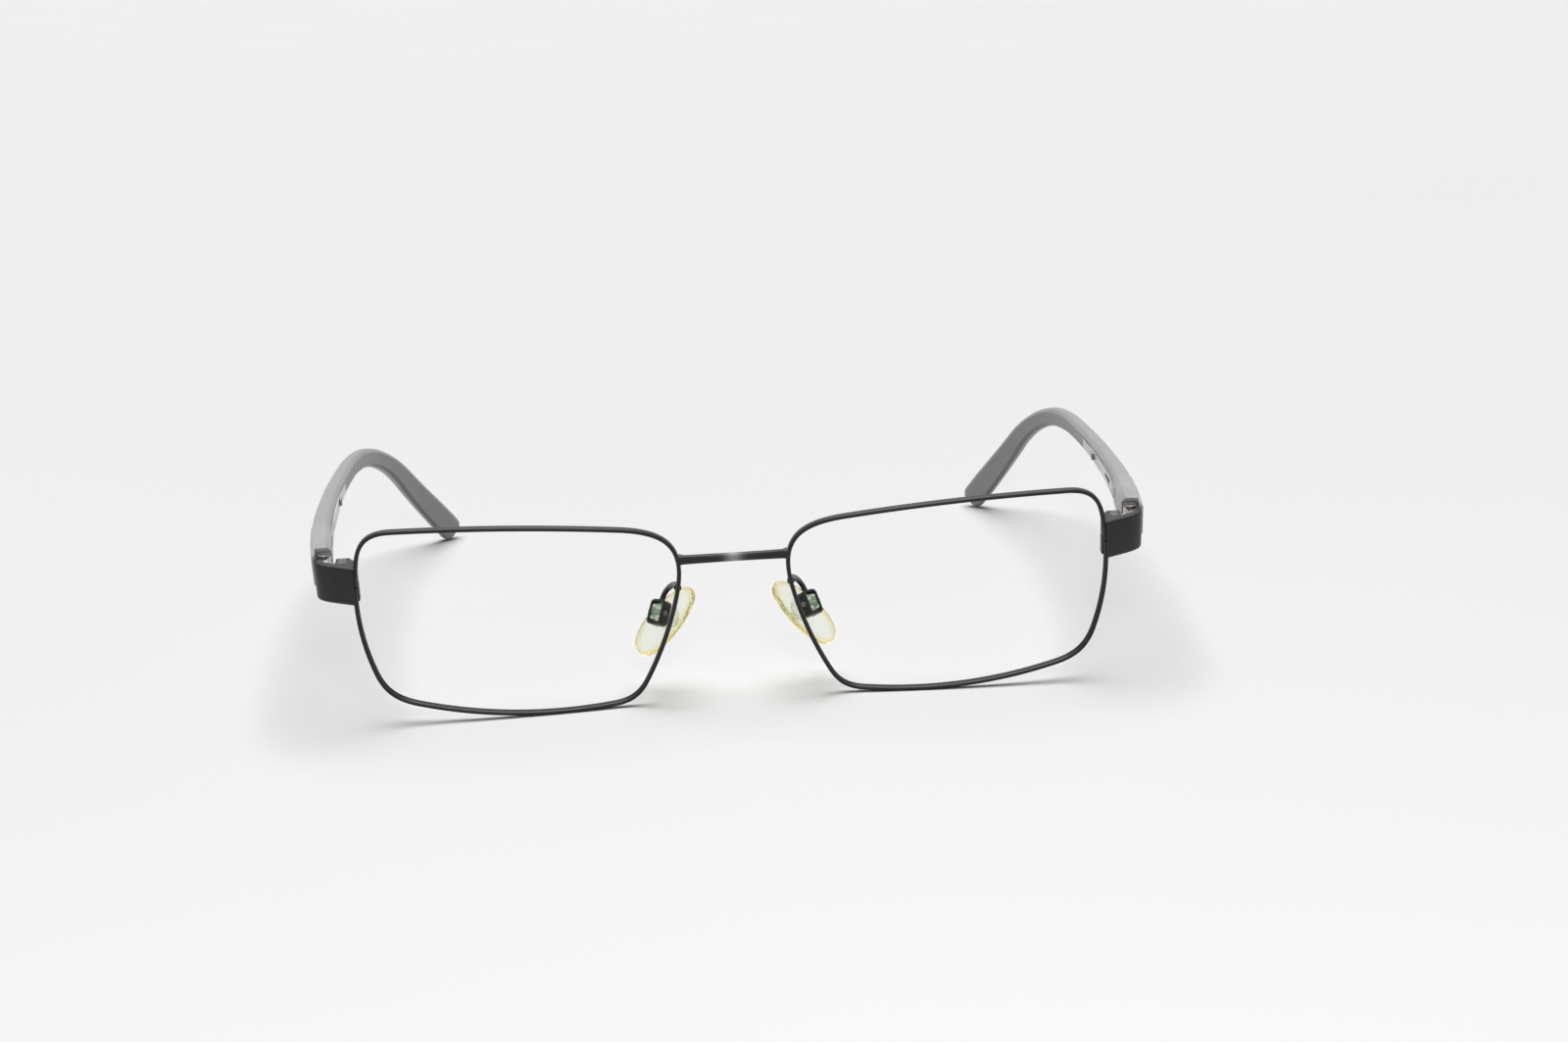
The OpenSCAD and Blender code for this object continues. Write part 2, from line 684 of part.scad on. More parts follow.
module hinge_slider(side) {
    color(metal_silver) on_side(side) stood() {
        difference() {
            union() {
                hinge_axis_at(-barrel_h / 2) cylinder(r = barrel_r, h = barrel_h);
                on_slider_axis(tongue_front) cylinder(r = tongue_r, h = tongue_back - tongue_front);
            }
            hinge_axis_at(-stack_h) cylinder(r = bore_r, h = 2 * stack_h);
        }
        on_slider_axis(tongue_back - rod_overlap)
            cylinder(r = rod_r, h = nut_back + rod_proud - tongue_back + rod_overlap);
    }
}

// Guide bush staked in the temple's bore; its step takes the spring's front end
module slider_bush(side) {
    color(metal_silver) on_side(side) stood() difference() {
        on_slider_axis(bush_front) cylinder(r = bush_r, h = bush_back - bush_front);
        on_slider_axis(bush_front - cut_extra)
            cylinder(r = tongue_r + run_gap, h = bush_step - bush_front + cut_extra);
        on_slider_axis(bush_front) cylinder(r = rod_r + run_gap, h = bush_back);
    }
}

module spring_nut(side) {
    color(metal_silver) on_side(side) stood() difference() {
        on_slider_axis(nut_front) cylinder(r = bush_r - nut_gap, h = nut_t);
        on_slider_axis(nut_front - cut_extra) cylinder(r = rod_r + tiny, h = nut_t + 2 * cut_extra);
    }
}

// Compression spring on the bush, hidden in the temple's bore, at the length that full travel leaves it
spring_wire_r = 0.12;
spring_coil_r = bush_r - nut_gap - spring_wire_r;
spring_turns = 7;
spring_ring_steps = 10;
spring_end_gap = 0.05;
spring_from = bush_back + spring_end_gap + spring_wire_r;
spring_to = bush_back + spring_room - spring_end_gap - spring_wire_r;
function coil_point(k) =
    let (a = 360 * k / spring_ring_steps, t = k / (spring_turns * spring_ring_steps))
    [spring_coil_r * cos(a), spring_coil_r * sin(a), spring_from + (spring_to - spring_from) * t];
function coil_ring(k) =
    let (a = 360 * k / spring_ring_steps, c = coil_point(k), n = [cos(a), sin(a), 0])
    [for (j = [0 : 5]) c + n * spring_wire_r * cos(60 * j) + [0, 0, spring_wire_r * sin(60 * j)]];

module hinge_spring(side) {
    color(metal_silver) on_side(side) stood()
        on_slider_axis(0) loft([for (k = [0 : spring_turns * spring_ring_steps]) coil_ring(k)]);
}

// Space in the temple's front for the barrels, the leaf and the fold; its faces are parallel to the pin
pocket_size = 12;
module hinge_pocket() {
    hinge_axis_at(-pocket_size) cylinder(r = barrel_r + barrel_clear, h = 2 * pocket_size);
    hinge_axis_at(0) rotate([0, 0, -splay]) {
        translate([barrel_r + barrel_clear - pocket_size, block_front - pocket_size, -pocket_size])
            cube([pocket_size, pocket_size, 2 * pocket_size]);
        translate([-pocket_size, -wing_length - pocket_size, -pocket_size])
            cube([2 * pocket_size, pocket_size, 2 * pocket_size]);
    }
}

// Metal strip that the front carries along the sleeve's inner face
strip_proud = 0.12;
strip_gap = 0.04;
strip_lap = 2;
strip_from = metal_length - strip_lap;
function strip_ring(s) =
    let (a = temple_w(s) / 2, h = strip_half_h - strip_gap)
    [
        for (q = [
            [-a - strip_proud, -h], [-a + strip_t - strip_gap, -h],
            [-a + strip_t - strip_gap, h], [-a - strip_proud, h]
        ]) temple_at(s, q.x, q.y)
    ];

temple_screw_s = strip_length - strip_screw_back;

// Places children at a station of the temple, X outward and Y along it
module at_station(s) {
    translate(temple_point(s)) rotate([0, 0, -heading_out(s)]) rotate([-heading_down(s), 0, 0]) children();
}

front_steps = 8;
strip_steps = 12;

module temple_front(side) {
    color(metal_silver) on_side(side) stood() difference() {
        union() {
            loft([
                for (k = [0 : front_steps])
                    plain_temple_ring(-path_back + (metal_length + path_back) * k / front_steps)
            ]);
            loft([for (k = [0 : strip_steps]) strip_ring(strip_from + (strip_length - strip_from) * k / strip_steps)]);
        }
        hinge_pocket();
        on_slider_axis(-cut_extra) cylinder(r = bush_r + tiny, h = spring_bore_end + cut_extra);
        at_station(metal_length) turned_along()
            translate([0, 0, -core_seat]) cylinder(r = core_r + tiny, h = core_seat + cut_extra);
        at_station(metal_length + window_lead + window_length / 2)
            translate([-temple_w_front, -window_length / 2, -window_h / 2])
                cube([temple_w_front, window_length, window_h]);
        at_station(temple_screw_s)
            translate([-temple_w_front, 0, 0]) rotate([0, 90, 0]) cylinder(r = temple_pin_r + tiny, h = temple_w_front);
    }
}

// Core wire brazed into the metal front and running through the sleeve
core_seat = 2.5;
core_sides = 10;
core_step = 2.5;
function core_ring(s, r) = [for (k = [0 : core_sides - 1])
    let (a = 360 * (k + 0.5) / core_sides) temple_at(s, r * cos(a), r * sin(a))];
core_end_gap = 0.05;
core_from = metal_length - core_seat + core_end_gap;
core_count = ceil((core_length - core_from) / core_step);

module temple_core(side) {
    color(metal_silver) on_side(side) stood()
        loft([for (k = [0 : core_count]) core_ring(core_from + (core_length - core_from) * k / core_count, core_r)]);
}

// Plastic sleeve: closed at its end, hollow for the core wire, channelled for the strip
sleeve_gap = 0.06;
sleeve_from = metal_length + sleeve_gap;
// Behind the strip the channel fades to a fine line
channel_end = strip_length + strip_gap;
channel_line = 0.04;
channel_steps = 12;
tail_steps = 27;
function channel_depth(s) = s < channel_end ? strip_t : channel_line;
sleeve_stations = concat(
    [for (k = [0 : channel_steps]) sleeve_from + (channel_end - tiny - sleeve_from) * k / channel_steps],
    [for (k = [0 : tail_steps]) channel_end + tiny + (round_s - channel_end - tiny) * k / tail_steps],
    [temple_length]
);
core_spare = 0.5;
sleeve_bore_end = core_length + core_spare;
sleeve_bore_count = 36;

sleeve_rings = [for (s = sleeve_stations) temple_ring(s, channel_depth(s))];
sleeve_bore_rings = [
    for (k = [0 : sleeve_bore_count])
        core_ring(sleeve_from + (sleeve_bore_end - sleeve_from) * k / sleeve_bore_count, core_r + run_gap)
];

// Faces between the rings of a loft whose first point has the number start
function ring_faces(start, rings, count) = [
    for (i = [0 : rings - 2]) for (j = [0 : count - 1])
        let (a = start + i * count, k = (j + 1) % count)
        each [[a + j, a + k, a + count + k], [a + j, a + count + k, a + count + j]]
];

module temple_sleeve(side) {
    outer = len(sleeve_rings[0]);
    bore = len(sleeve_rings) * outer;
    last = bore + (len(sleeve_bore_rings) - 1) * core_sides;
    // Outer points that face the bore's points in turn, round the open end
    facing = [1, 2, 3, 4, 6, 7, 9, 10, 11, 0];
    points = concat([for (ring = sleeve_rings) each ring], [for (ring = sleeve_bore_rings) each ring]);
    faces = concat(
        ring_faces(0, len(sleeve_rings), outer),
        [for (f = ring_faces(bore, len(sleeve_bore_rings), core_sides)) [f[2], f[1], f[0]]],
        [for (j = [0 : core_sides - 1]) let (k = (j + 1) % core_sides)
            each [[facing[k], facing[j], bore + j], [facing[k], bore + j, bore + k]]],
        [[6, 5, 4], [9, 8, 7]],
        [[for (j = [0 : outer - 1]) bore - outer + j]],
        [[for (j = [core_sides - 1 : -1 : 0]) last + j]]
    );
    color(plastic_grey) on_side(side) stood() polyhedron(points, faces, convexity = 8);
}

// Small screw that holds the strip to the sleeve
temple_pin_r = 0.5;
temple_head_r = 0.85;
temple_head_h = 0.3;
temple_head_gap = 0.02;
temple_pin_gap = 0.1;

module temple_screw(side) {
    color(metal_silver) on_side(side) stood()
        at_station(temple_screw_s)
            translate([-temple_w(temple_screw_s) / 2 - strip_proud - temple_head_h - temple_head_gap, 0, 0])
                rotate([0, -90, 0])
                    slotted_screw(temple_head_r, temple_head_h, temple_pin_r,
                        temple_head_h + strip_proud + strip_t - temple_pin_gap);
}

// Nose pads: each hangs in a box that a wire arm carries; X is the pad's outward normal, -Z runs down the pad

pad_gap = 0.7;
pad_centre = [pad_x, pad_y, -pad_drop];
module at_pad() {
    translate(pad_centre)
        rotate([pad_rake, 0, 0]) rotate([0, 0, -pad_splay]) rotate([0, -pad_flare, 0]) children();
}
function turn_x(v, a) = [v.x, v.y * cos(a) - v.z * sin(a), v.y * sin(a) + v.z * cos(a)];
function turn_y(v, a) = [v.x * cos(a) + v.z * sin(a), v.y, v.z * cos(a) - v.x * sin(a)];
function turn_z(v, a) = [v.x * cos(a) - v.y * sin(a), v.x * sin(a) + v.y * cos(a), v.z];
function pad_dir(v) = turn_x(turn_z(turn_y(v, -pad_flare), -pad_splay), pad_rake);

box_n = pad_t / 2 + pad_gap + box_d / 2;
box_mid = [box_n, 0, box_rise];
module at_box() {
    at_pad() translate(box_mid) rotate([-box_turn, 0, 0]) children();
}

// Flat outline with rounded corners, extruded along X about the origin
module rounded_block(thickness, width, height, r) {
    rotate([0, 90, 0]) translate([0, 0, -thickness / 2]) linear_extrude(thickness) {
        square([height - 2 * r, width], center = true);
        square([height, width - 2 * r], center = true);
        for (x = [-1, 1]) for (y = [-1, 1])
            translate([x * (height / 2 - r), y * (width / 2 - r)]) circle(r = r);
    }
}

box_corner_r = 0.8;
module pad_box(side) {
    color(metal_black) on_side(side) stood() at_box() difference() {
        rounded_block(box_d, box_w, box_l, box_corner_r);
        rounded_block(box_d + cut_extra, box_w - 2 * box_wall, box_l - 2 * box_wall, box_corner_r - box_wall);
        turned_along() translate([0, 0, -box_w]) cylinder(r = pad_pin_r + tiny, h = 2 * box_w);
    }
}

pad_head_r = 0.75;
pad_head_h = 0.35;
module pad_screw(side) {
    color(metal_silver) on_side(side) stood()
        at_box() turned_along() translate([0, 0, box_w / 2 + pad_head_h + tiny])
            slotted_screw(pad_head_r, pad_head_h, pad_pin_r, box_w + pad_head_h);
}

// The insert's boss stands in the box and its flange lies inside the pad
boss_side_gap = 0.1;
boss_end_gap = 0.4;
boss_recess = 0.1;
flange_r = 2.2;
flange_t = 0.7;
flange_top = 0.35;
boss_w = box_w - 2 * box_wall - 2 * boss_side_gap;
boss_l = box_l - 2 * box_wall - 2 * boss_end_gap;
boss_r = 0.3;

module insert_form(grow) {
    boss_top = box_n + box_d / 2 - boss_recess;
    translate([(boss_top + flange_top - tiny) / 2, 0, box_rise]) rotate([-box_turn, 0, 0])
        rounded_block(boss_top - flange_top + tiny, boss_w + 2 * grow, boss_l + 2 * grow, boss_r + grow);
    translate([flange_top - flange_t - grow, 0, box_rise])
        rotate([0, 90, 0]) cylinder(r = flange_r + grow, h = flange_t + 2 * grow);
}

module pad_insert(side) {
    color(clear_pad) on_side(side) stood() at_pad() difference() {
        insert_form(0);
        translate(box_mid) rotate([-box_turn, 0, 0]) turned_along() translate([0, 0, -box_w])
            cylinder(r = pad_pin_r + run_gap, h = 2 * box_w);
    }
}

// Outline of the pad: an egg, broader at its lower end, with n across its thickness
pad_points = 40;
pad_egg = 0.12;
pad_fullness = 0.85;
function pad_ring(n, share) = [
    for (k = [0 : pad_points - 1])
        let (a = 360 * k / pad_points, low = 1 - pad_egg * sin(a))
        [
            n,
            pad_w / 2 * share * low * sign(cos(a)) * pow(abs(cos(a)), pad_fullness),
            pad_l / 2 * share * sin(a)
        ]
];
// Rounding of the pad's edge: places across its thickness and the share of the outline there
pad_profile = [[-0.5, 0.72], [-0.42, 0.86], [-0.22, 0.97], [0, 1], [0.24, 0.98], [0.42, 0.93], [0.5, 0.86]];

module nose_pad(side) {
    color(clear_pad) on_side(side) stood() at_pad() difference() {
        loft([for (q = pad_profile) pad_ring(pad_t * q.x, q.y)]);
        insert_form(solder_gap);
    }
}

// Pad arm: a wire that leaves the back of the rim and curves down to the box
arm_root_xz = edge_point(1, edge_at(1, arm_z));
arm_root = [arm_root_xz.x, sag(arm_root_xz) + rim_d / 2 + solder_gap, arm_root_xz.y];
box_up = turn_x([0, 0, 1], -box_turn);
arm_end = pad_centre + pad_dir(box_mid + box_up * (box_l / 2 + solder_gap));
arm_out = 3;
arm_in = 2.6;
arm_sides = 10;
arm_steps = 14;
arm_curve = [arm_root, arm_root + [0, arm_out, 0], arm_end + pad_dir(box_up * arm_in), arm_end];
function arm_point(t) = bent_line(arm_curve[0], arm_curve[1], arm_curve[2], arm_curve[3], t);
function arm_heading(t) = unit(
    (arm_curve[1] - arm_curve[0]) * pow(1 - t, 2) + (arm_curve[2] - arm_curve[1]) * 2 * t * (1 - t)
        + (arm_curve[3] - arm_curve[2]) * t * t
);
function arm_ring(t) =
    let (d = arm_heading(t), a = unit(cross(d, [1, 0, 0])), b = cross(a, d))
    [for (j = [0 : arm_sides - 1]) let (w = 360 * j / arm_sides) arm_point(t) + (a * cos(w) + b * sin(w)) * arm_r];

module pad_arm(side) {
    color(metal_black) on_side(side) stood() loft([for (k = [0 : arm_steps]) arm_ring(k / arm_steps)]);
}

// Standing: the front leans back until the rims and the temple ends touch the ground together

function lowest(points, tilt) = min([for (p = points) p.y * sin(tilt) + p.z * cos(tilt)]);
function foremost(points, tilt) = min([for (p = points) p.y * cos(tilt) - p.z * sin(tilt)]);
function hindmost(points, tilt) = max([for (p = points) p.y * cos(tilt) - p.z * sin(tilt)]);
rim_points = [for (ring = rim_rings) each ring];
end_rings = 10;
end_points = [for (i = [len(sleeve_rings) - end_rings : len(sleeve_rings) - 1]) each sleeve_rings[i]];
stand_span = temple_point(temple_length).y - sag(eye_mid);
function levelled(tilt, tries) =
    tries == 0 ? tilt
        : levelled(tilt + atan((lowest(rim_points, tilt) - lowest(end_points, tilt)) / stand_span), tries - 1);
stand_tilt = levelled(0, 8);
stand_y = (foremost(rim_points, stand_tilt) + hindmost(end_points, stand_tilt)) / 2;
stand_z = lowest(rim_points, stand_tilt);

module stood() {
    translate([0, -stand_y, -stand_z]) rotate([stand_tilt, 0, 0]) children();
}

bridge();
rim(1);  // rim_left
rim(-1);  // rim_right
endpiece(1);  // endpiece_left
endpiece(-1);  // endpiece_right
closing_block_upper(1);  // closing_block_upper_left
closing_block_upper(-1);  // closing_block_upper_right
closing_block_lower(1);  // closing_block_lower_left
closing_block_lower(-1);  // closing_block_lower_right
closing_screw(1);  // closing_screw_left
closing_screw(-1);  // closing_screw_right
hinge_leaf(1);  // hinge_leaf_left
hinge_leaf(-1);  // hinge_leaf_right
hinge_screw(1);  // hinge_screw_left
hinge_screw(-1);  // hinge_screw_right
hinge_slider(1);  // hinge_slider_left
hinge_slider(-1);  // hinge_slider_right
slider_bush(1);  // slider_bush_left
slider_bush(-1);  // slider_bush_right
hinge_spring(1);  // hinge_spring_left
hinge_spring(-1);  // hinge_spring_right
spring_nut(1);  // spring_nut_left
spring_nut(-1);  // spring_nut_right
temple_front(1);  // temple_front_left
temple_front(-1);  // temple_front_right
temple_sleeve(1);  // temple_sleeve_left
temple_sleeve(-1);  // temple_sleeve_right
temple_core(1);  // temple_core_left
temple_core(-1);  // temple_core_right
temple_screw(1);  // temple_screw_left
temple_screw(-1);  // temple_screw_right
pad_arm(1);  // pad_arm_left
pad_arm(-1);  // pad_arm_right
pad_box(1);  // pad_box_left
pad_box(-1);  // pad_box_right
pad_insert(1);  // pad_insert_left
pad_insert(-1);  // pad_insert_right
nose_pad(1);  // nose_pad_left
nose_pad(-1);  // nose_pad_right
pad_screw(1);  // pad_screw_left
pad_screw(-1);  // pad_screw_right
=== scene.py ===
"""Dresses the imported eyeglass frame: black wire rims, sprung temples with plastic ends, clear nose pads."""

import json
import math

import bmesh
import bpy
from bpy.props import FloatProperty, FloatVectorProperty, PointerProperty
from mathutils import Matrix, Vector


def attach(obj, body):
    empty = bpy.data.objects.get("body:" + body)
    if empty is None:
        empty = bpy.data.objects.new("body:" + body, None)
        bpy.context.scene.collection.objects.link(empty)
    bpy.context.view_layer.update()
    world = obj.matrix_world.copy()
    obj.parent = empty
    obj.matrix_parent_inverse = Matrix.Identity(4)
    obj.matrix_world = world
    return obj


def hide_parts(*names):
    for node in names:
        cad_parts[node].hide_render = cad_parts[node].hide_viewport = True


bl_info = {
    "name": "Eyeglass frame",
    "version": (1, 0, 0),
    "blender": (4, 5, 0),
    "location": "3D View > Sidebar > Eyeglass frame",
    "description": "Builds the visible pieces of a full-rim eyeglass frame on its packed solids",
    "category": "Object",
}

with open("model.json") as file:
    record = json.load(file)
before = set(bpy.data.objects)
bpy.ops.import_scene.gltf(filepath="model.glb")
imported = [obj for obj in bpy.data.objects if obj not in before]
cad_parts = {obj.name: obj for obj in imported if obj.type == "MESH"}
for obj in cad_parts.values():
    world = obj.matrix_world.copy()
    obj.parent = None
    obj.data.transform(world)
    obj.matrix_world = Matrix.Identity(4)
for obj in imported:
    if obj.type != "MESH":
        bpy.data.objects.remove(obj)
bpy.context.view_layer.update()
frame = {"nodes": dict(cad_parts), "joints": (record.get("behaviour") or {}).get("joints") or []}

MM = 0.001  # metres in a millimetre
SOLDER = 0.03  # millimetres between two pieces that are soldered together
SIDES = {"left": 1, "right": -1}
JOINTS = {joint["name"]: joint for joint in frame["joints"]}
FOLD = JOINTS["temple_fold_left"]


# Sizes


def millimetres(name, description, default):
    """A length. Blender shows this subtype in millimetres."""
    return FloatProperty(name=name, description=description, default=default, subtype="DISTANCE_CAMERA")


def degrees(name, description, default):
    """An angle, given and shown in degrees and kept in radians."""
    return FloatProperty(name=name, description=description, default=math.radians(default), subtype="ANGLE")


def proportion(name, description, default):
    """A share from 0 to 1."""
    return FloatProperty(name=name, description=description, default=default, min=0, max=1, subtype="FACTOR")


def strength(name, description, default):
    """The strength of a lamp."""
    return FloatProperty(name=name, description=description, default=default, min=0)


def tone(name, description, default):
    """The colour of a finish."""
    return FloatVectorProperty(name=name, description=description, default=default, min=0, max=1,
                               size=3, subtype="COLOR")


class EyeSizes(bpy.types.PropertyGroup):
    """Outline of one eye and the wire round it."""

    lens_w: millimetres("Eye width", "Width at half height, along the wire's centre", 52.7)
    lens_h: millimetres("Eye height", "Height at mid width, along the wire's centre", 34.2)
    nose_gap: millimetres("Nose gap", "Between the nasal edges at half height", 20.8)
    eye_drop: millimetres("Eye drop", "Depth of the half height below the datum", 1.2)
    top_slope: degrees("Top slope", "Rise of the top edge", 4.3)
    bottom_slope: degrees("Bottom slope", "Rise of the bottom edge", 5.1)
    nasal_lean: degrees("Nasal lean", "Lean of the nasal edge", 18)
    temple_lean: degrees("Temple lean", "Lean of the temple-side edge", 3.9)
    reach_top_nasal: millimetres("Top nasal reach", "Run of that corner's rounding", 11.1)
    reach_top_temple: millimetres("Top temple reach", "Run of that corner's rounding", 5.2)
    reach_bottom_temple: millimetres("Bottom temple reach", "Run of that corner's rounding", 5)
    reach_bottom_nasal: millimetres("Bottom nasal reach", "Run of that corner's rounding", 3.8)
    fullness: proportion("Corner fullness", "Lower cuts across the corners", 0.73)
    bow_top: millimetres("Top bow", "Outward bow of the top edge", 2.15)
    bow_temple: millimetres("Temple bow", "Outward bow of the temple-side edge", 2.65)
    bow_bottom: millimetres("Bottom bow", "Outward bow of the bottom edge", 1.95)
    bow_nasal: millimetres("Nasal bow", "Outward bow of the nasal edge", 1.9)
    base_radius: millimetres("Base radius", "Sphere that the rims are curved to", 109)
    face_form: degrees("Face form", "Face form angle", -1.1)
    rim_t: millimetres("Wire thickness", "In the plane of the eye", 0.75)
    rim_d: millimetres("Wire depth", "Front to back", 1.4)
    groove_d: millimetres("Groove depth", "Depth of the lens groove", 0.3)
    groove_w: millimetres("Groove width", "Width of the lens groove", 0.7)
    rim_cut: millimetres("Closing cut", "Cut in the rim at the closing block", 0.3)


class BridgeSizes(bpy.types.PropertyGroup):
    """Bridge bar."""

    z: millimetres("End height", "Height of the ends above the datum", 7)
    h: millimetres("Bar height", "Height of the bar", 1.45)
    d: millimetres("Bar depth", "Depth of the bar", 1.3)
    rise: millimetres("Rise", "Rise of the middle over the ends", 0.9)
    forward: millimetres("Forward", "How far the middle stands forward", 2)
    # The rubbed middle is a painted highlight: paler plating where a lamp's highlight falls on the bar.
    highlight_half: millimetres("Polished", "Half length of the rubbed middle", 1.3)


class TempleSizes(bpy.types.PropertyGroup):
    """Endpiece, and the temple's line and section."""

    reach: millimetres("Endpiece reach", "Endpiece's side outside the rim's side", 6.64)
    sweep: degrees("Endpiece sweep", "Sweep of the endpiece's face", 24)
    set_back: millimetres("Endpiece set back", "Endpiece's face behind the wire's", 0.1)
    hinge_inset: millimetres("Hinge inset", "Pin in from the endpiece's side", 1.35)
    hinge_back: millimetres("Hinge back", "Pin behind the endpiece's corner", 4.7)
    corner_r: millimetres("Corner radius", "Outer radius of the endpiece's corner", 2.4)
    bend_start: millimetres("Bend start", "Start of the bend before the corner", 3.6)
    plate_h: millimetres("Plate height", "Height of the endpiece plate", 6.9)
    plate_t: millimetres("Plate thickness", "Thickness of the endpiece plate", 1.4)
    wing: millimetres("Wing", "Temple's outer wall in front of the pin", 2.3)
    seam: millimetres("Seam", "Gap between endpiece and temple", 0.25)
    hinge_z: millimetres("Hinge height", "Hinge middle above the datum", 6.5)
    pantoscopic: degrees("Slope", "Slope below the front's normal", 9.1)
    splay: degrees("Splay", "Outward splay at the hinge", 9.1)
    curve: degrees("Curve", "Inward curve over 100 millimetres", 13.2)
    to_bend: millimetres("To bend", "Pin to the start of the ear bend", 87.6)
    bend: millimetres("Bend length", "Length of the ear bend", 21.4)
    drop: degrees("Bend drop", "Drop of the ear bend", 44.5)
    end: millimetres("End length", "Length behind the bend", 21.2)
    end_turn: degrees("End turn", "Inward turn of the end", 39.5)
    turn_lead: millimetres("Turn lead", "Length that shares the turn", 9.2)
    rise: millimetres("Rise", "Temple's middle above the hinge's middle", 0.8)
    w_front: millimetres("Front thickness", "Thickness at the hinge", 3.45)
    w_back: millimetres("Back thickness", "Thickness at the bend", 3.1)
    w_end: millimetres("End thickness", "Thickness near the end", 2.8)
    h_front: millimetres("Front height", "Height at the hinge", 6.2)
    h_back: millimetres("Back height", "Height in front of the bend", 3.8)
    h_end: millimetres("Paddle height", "Height of the end's paddle", 5.4)
    taper: millimetres("Metal taper", "Height lost along the metal front", 0.4)
    paddle: millimetres("Paddle length", "Length of the end's paddle", 7)
    tip_round: millimetres("Tip rounding", "Length of the rounding at the end", 1.3)
    tip_share: proportion("Tip share", "Share of the section left at the end", 0.72)
    bevel: millimetres("Bevel", "Bevel along the edges", 0.7)
    metal: millimetres("Metal length", "Pin to the plastic sleeve", 20)
    strip: millimetres("Strip length", "Pin to the strip's end", 62)
    strip_half_h: millimetres("Strip half height", "Half height of the strip", 1)
    strip_t: millimetres("Strip depth", "Depth of the strip in the sleeve", 0.7)


class PadSizes(bpy.types.PropertyGroup):
    """Nose pad, its box and its arm."""

    x: millimetres("Half distance", "Half distance between the pads' middles", 12)
    y: millimetres("Set back", "Distance behind the datum plane", 11)
    drop: millimetres("Drop", "Depth below the datum", 7.3)
    length: millimetres("Length", "Length of a pad", 14.8)
    width: millimetres("Width", "Width of a pad", 7.1)
    t: millimetres("Thickness", "Thickness of a pad", 1.9)
    flare: degrees("Flare", "Flare in a front view", 47)
    splay: degrees("Splay", "Splay in a top view", 23)
    rake: degrees("Rake", "Rake in a side view", 20)
    gap: millimetres("Gap", "Between the pad and its box", 0.7)
    box_rise: millimetres("Box rise", "Box above the pad's middle", 0.9)
    box_turn: degrees("Box turn", "Turn of the box against the pad", 38)
    box_l: millimetres("Box length", "Length of the box", 4.4)
    box_d: millimetres("Box depth", "Depth of the box", 2)
    arm_r: millimetres("Arm radius", "Radius of the arm's wire", 0.45)
    arm_z: millimetres("Arm root", "Height of the arm's root on the rim", 1.7)


class Finishes(bpy.types.PropertyGroup):
    """Colours of the finishes."""

    black: tone("Black plating", "Rims, bridge and endpieces", (0.006, 0.0056, 0.0075))
    silver: tone("Silver lacquer", "Metal temple fronts", (0.3, 0.298, 0.308))
    grey: tone("Grey plastic", "Temple sleeves", (0.262, 0.259, 0.271))
    steel: tone("Steel", "Screws and hinge parts", (0.5, 0.485, 0.455))
    amber: tone("Aged silicone", "Edges of the nose pads", (0.84, 0.68, 0.2))
    clear: tone("Clear silicone", "Faces of the nose pads", (0.925, 0.95, 0.86))


class StageSettings(bpy.types.PropertyGroup):
    """Camera, floor and lamps."""

    focal: millimetres("Lens", "Focal length on a 36 mm sensor", 51.71)
    floor_grey: proportion("Floor", "Shade of the floor", 0.74)
    sky: strength("Overhead", "Strength of the wide overhead lamp", 3.5)
    flash: strength("Front lamp", "Watts of the small lamp by the camera", 0.22)
    world: strength("Surround", "Strength of the surround's light", 0.04)


GROUPS = {
    "glasses_eye": EyeSizes, "glasses_bridge": BridgeSizes, "glasses_temple": TempleSizes,
    "glasses_pad": PadSizes, "glasses_finish": Finishes, "glasses_stage": StageSettings,
}


# Where things are


def front_matrix():
    """Places the front's own frame, in millimetres, in the row's frame, from the left fold joint."""
    axis = Vector(FOLD["axis"])
    tilt = math.atan2(-axis.y, axis.z)
    turn = Matrix.Rotation(tilt, 4, "X")
    pin = turn @ hinge_pin() * MM
    return Matrix.Translation(Vector(FOLD["pos_m"]) - pin) @ turn @ Matrix.Scale(MM, 4)


def hinge_pin():
    """Middle of the hinge pin, which stands off the rim's side by way of the endpiece's corner."""
    s, eye = bpy.context.scene.glasses_temple, Eye()
    side = eye.edge_point(3, eye.cut)
    rim_x = side.x + eye.s.rim_t / 2 + SOLDER
    corner_y = eye.sag(side) - eye.s.rim_d / 2 + s.set_back + s.reach * math.tan(s.sweep)
    return Vector((rim_x + s.reach - s.hinge_inset, corner_y + s.hinge_back, s.hinge_z))


def placed(points, side):
    """Points of the wearer's left in the front's frame, put in the row's frame on either side."""
    place = front_matrix()
    out = [place @ Vector(p) for p in points]
    return out if side > 0 else [Vector((-p.x, p.y, p.z)) for p in out]


def placed_direction(v, side):
    """A direction of the front's frame, turned into the row's frame on either side."""
    out = (front_matrix().to_3x3() @ Vector(v)).normalized()
    return out if side > 0 else Vector((-out.x, out.y, out.z))


# Eye outline


def turned(v):
    """A flat vector turned by a quarter to its left."""
    return Vector((-v.y, v.x))


def rotated(v, angle):
    """A flat vector turned to its left by an angle."""
    return Matrix.Rotation(angle, 2) @ v


def meet(p, u, q, v):
    """Where the line through p along u crosses the line through q along v."""
    return p + u * ((q - p).cross(v) / u.cross(v))


def bezier(p, t):
    """Point of a cubic curve with four handles."""
    return p[0] * (1 - t) ** 3 + p[1] * 3 * t * (1 - t) ** 2 + p[2] * 3 * t * t * (1 - t) + p[3] * t ** 3


def clamped(value):
    """A value kept from 0 to 1."""
    return min(1, max(0, value))


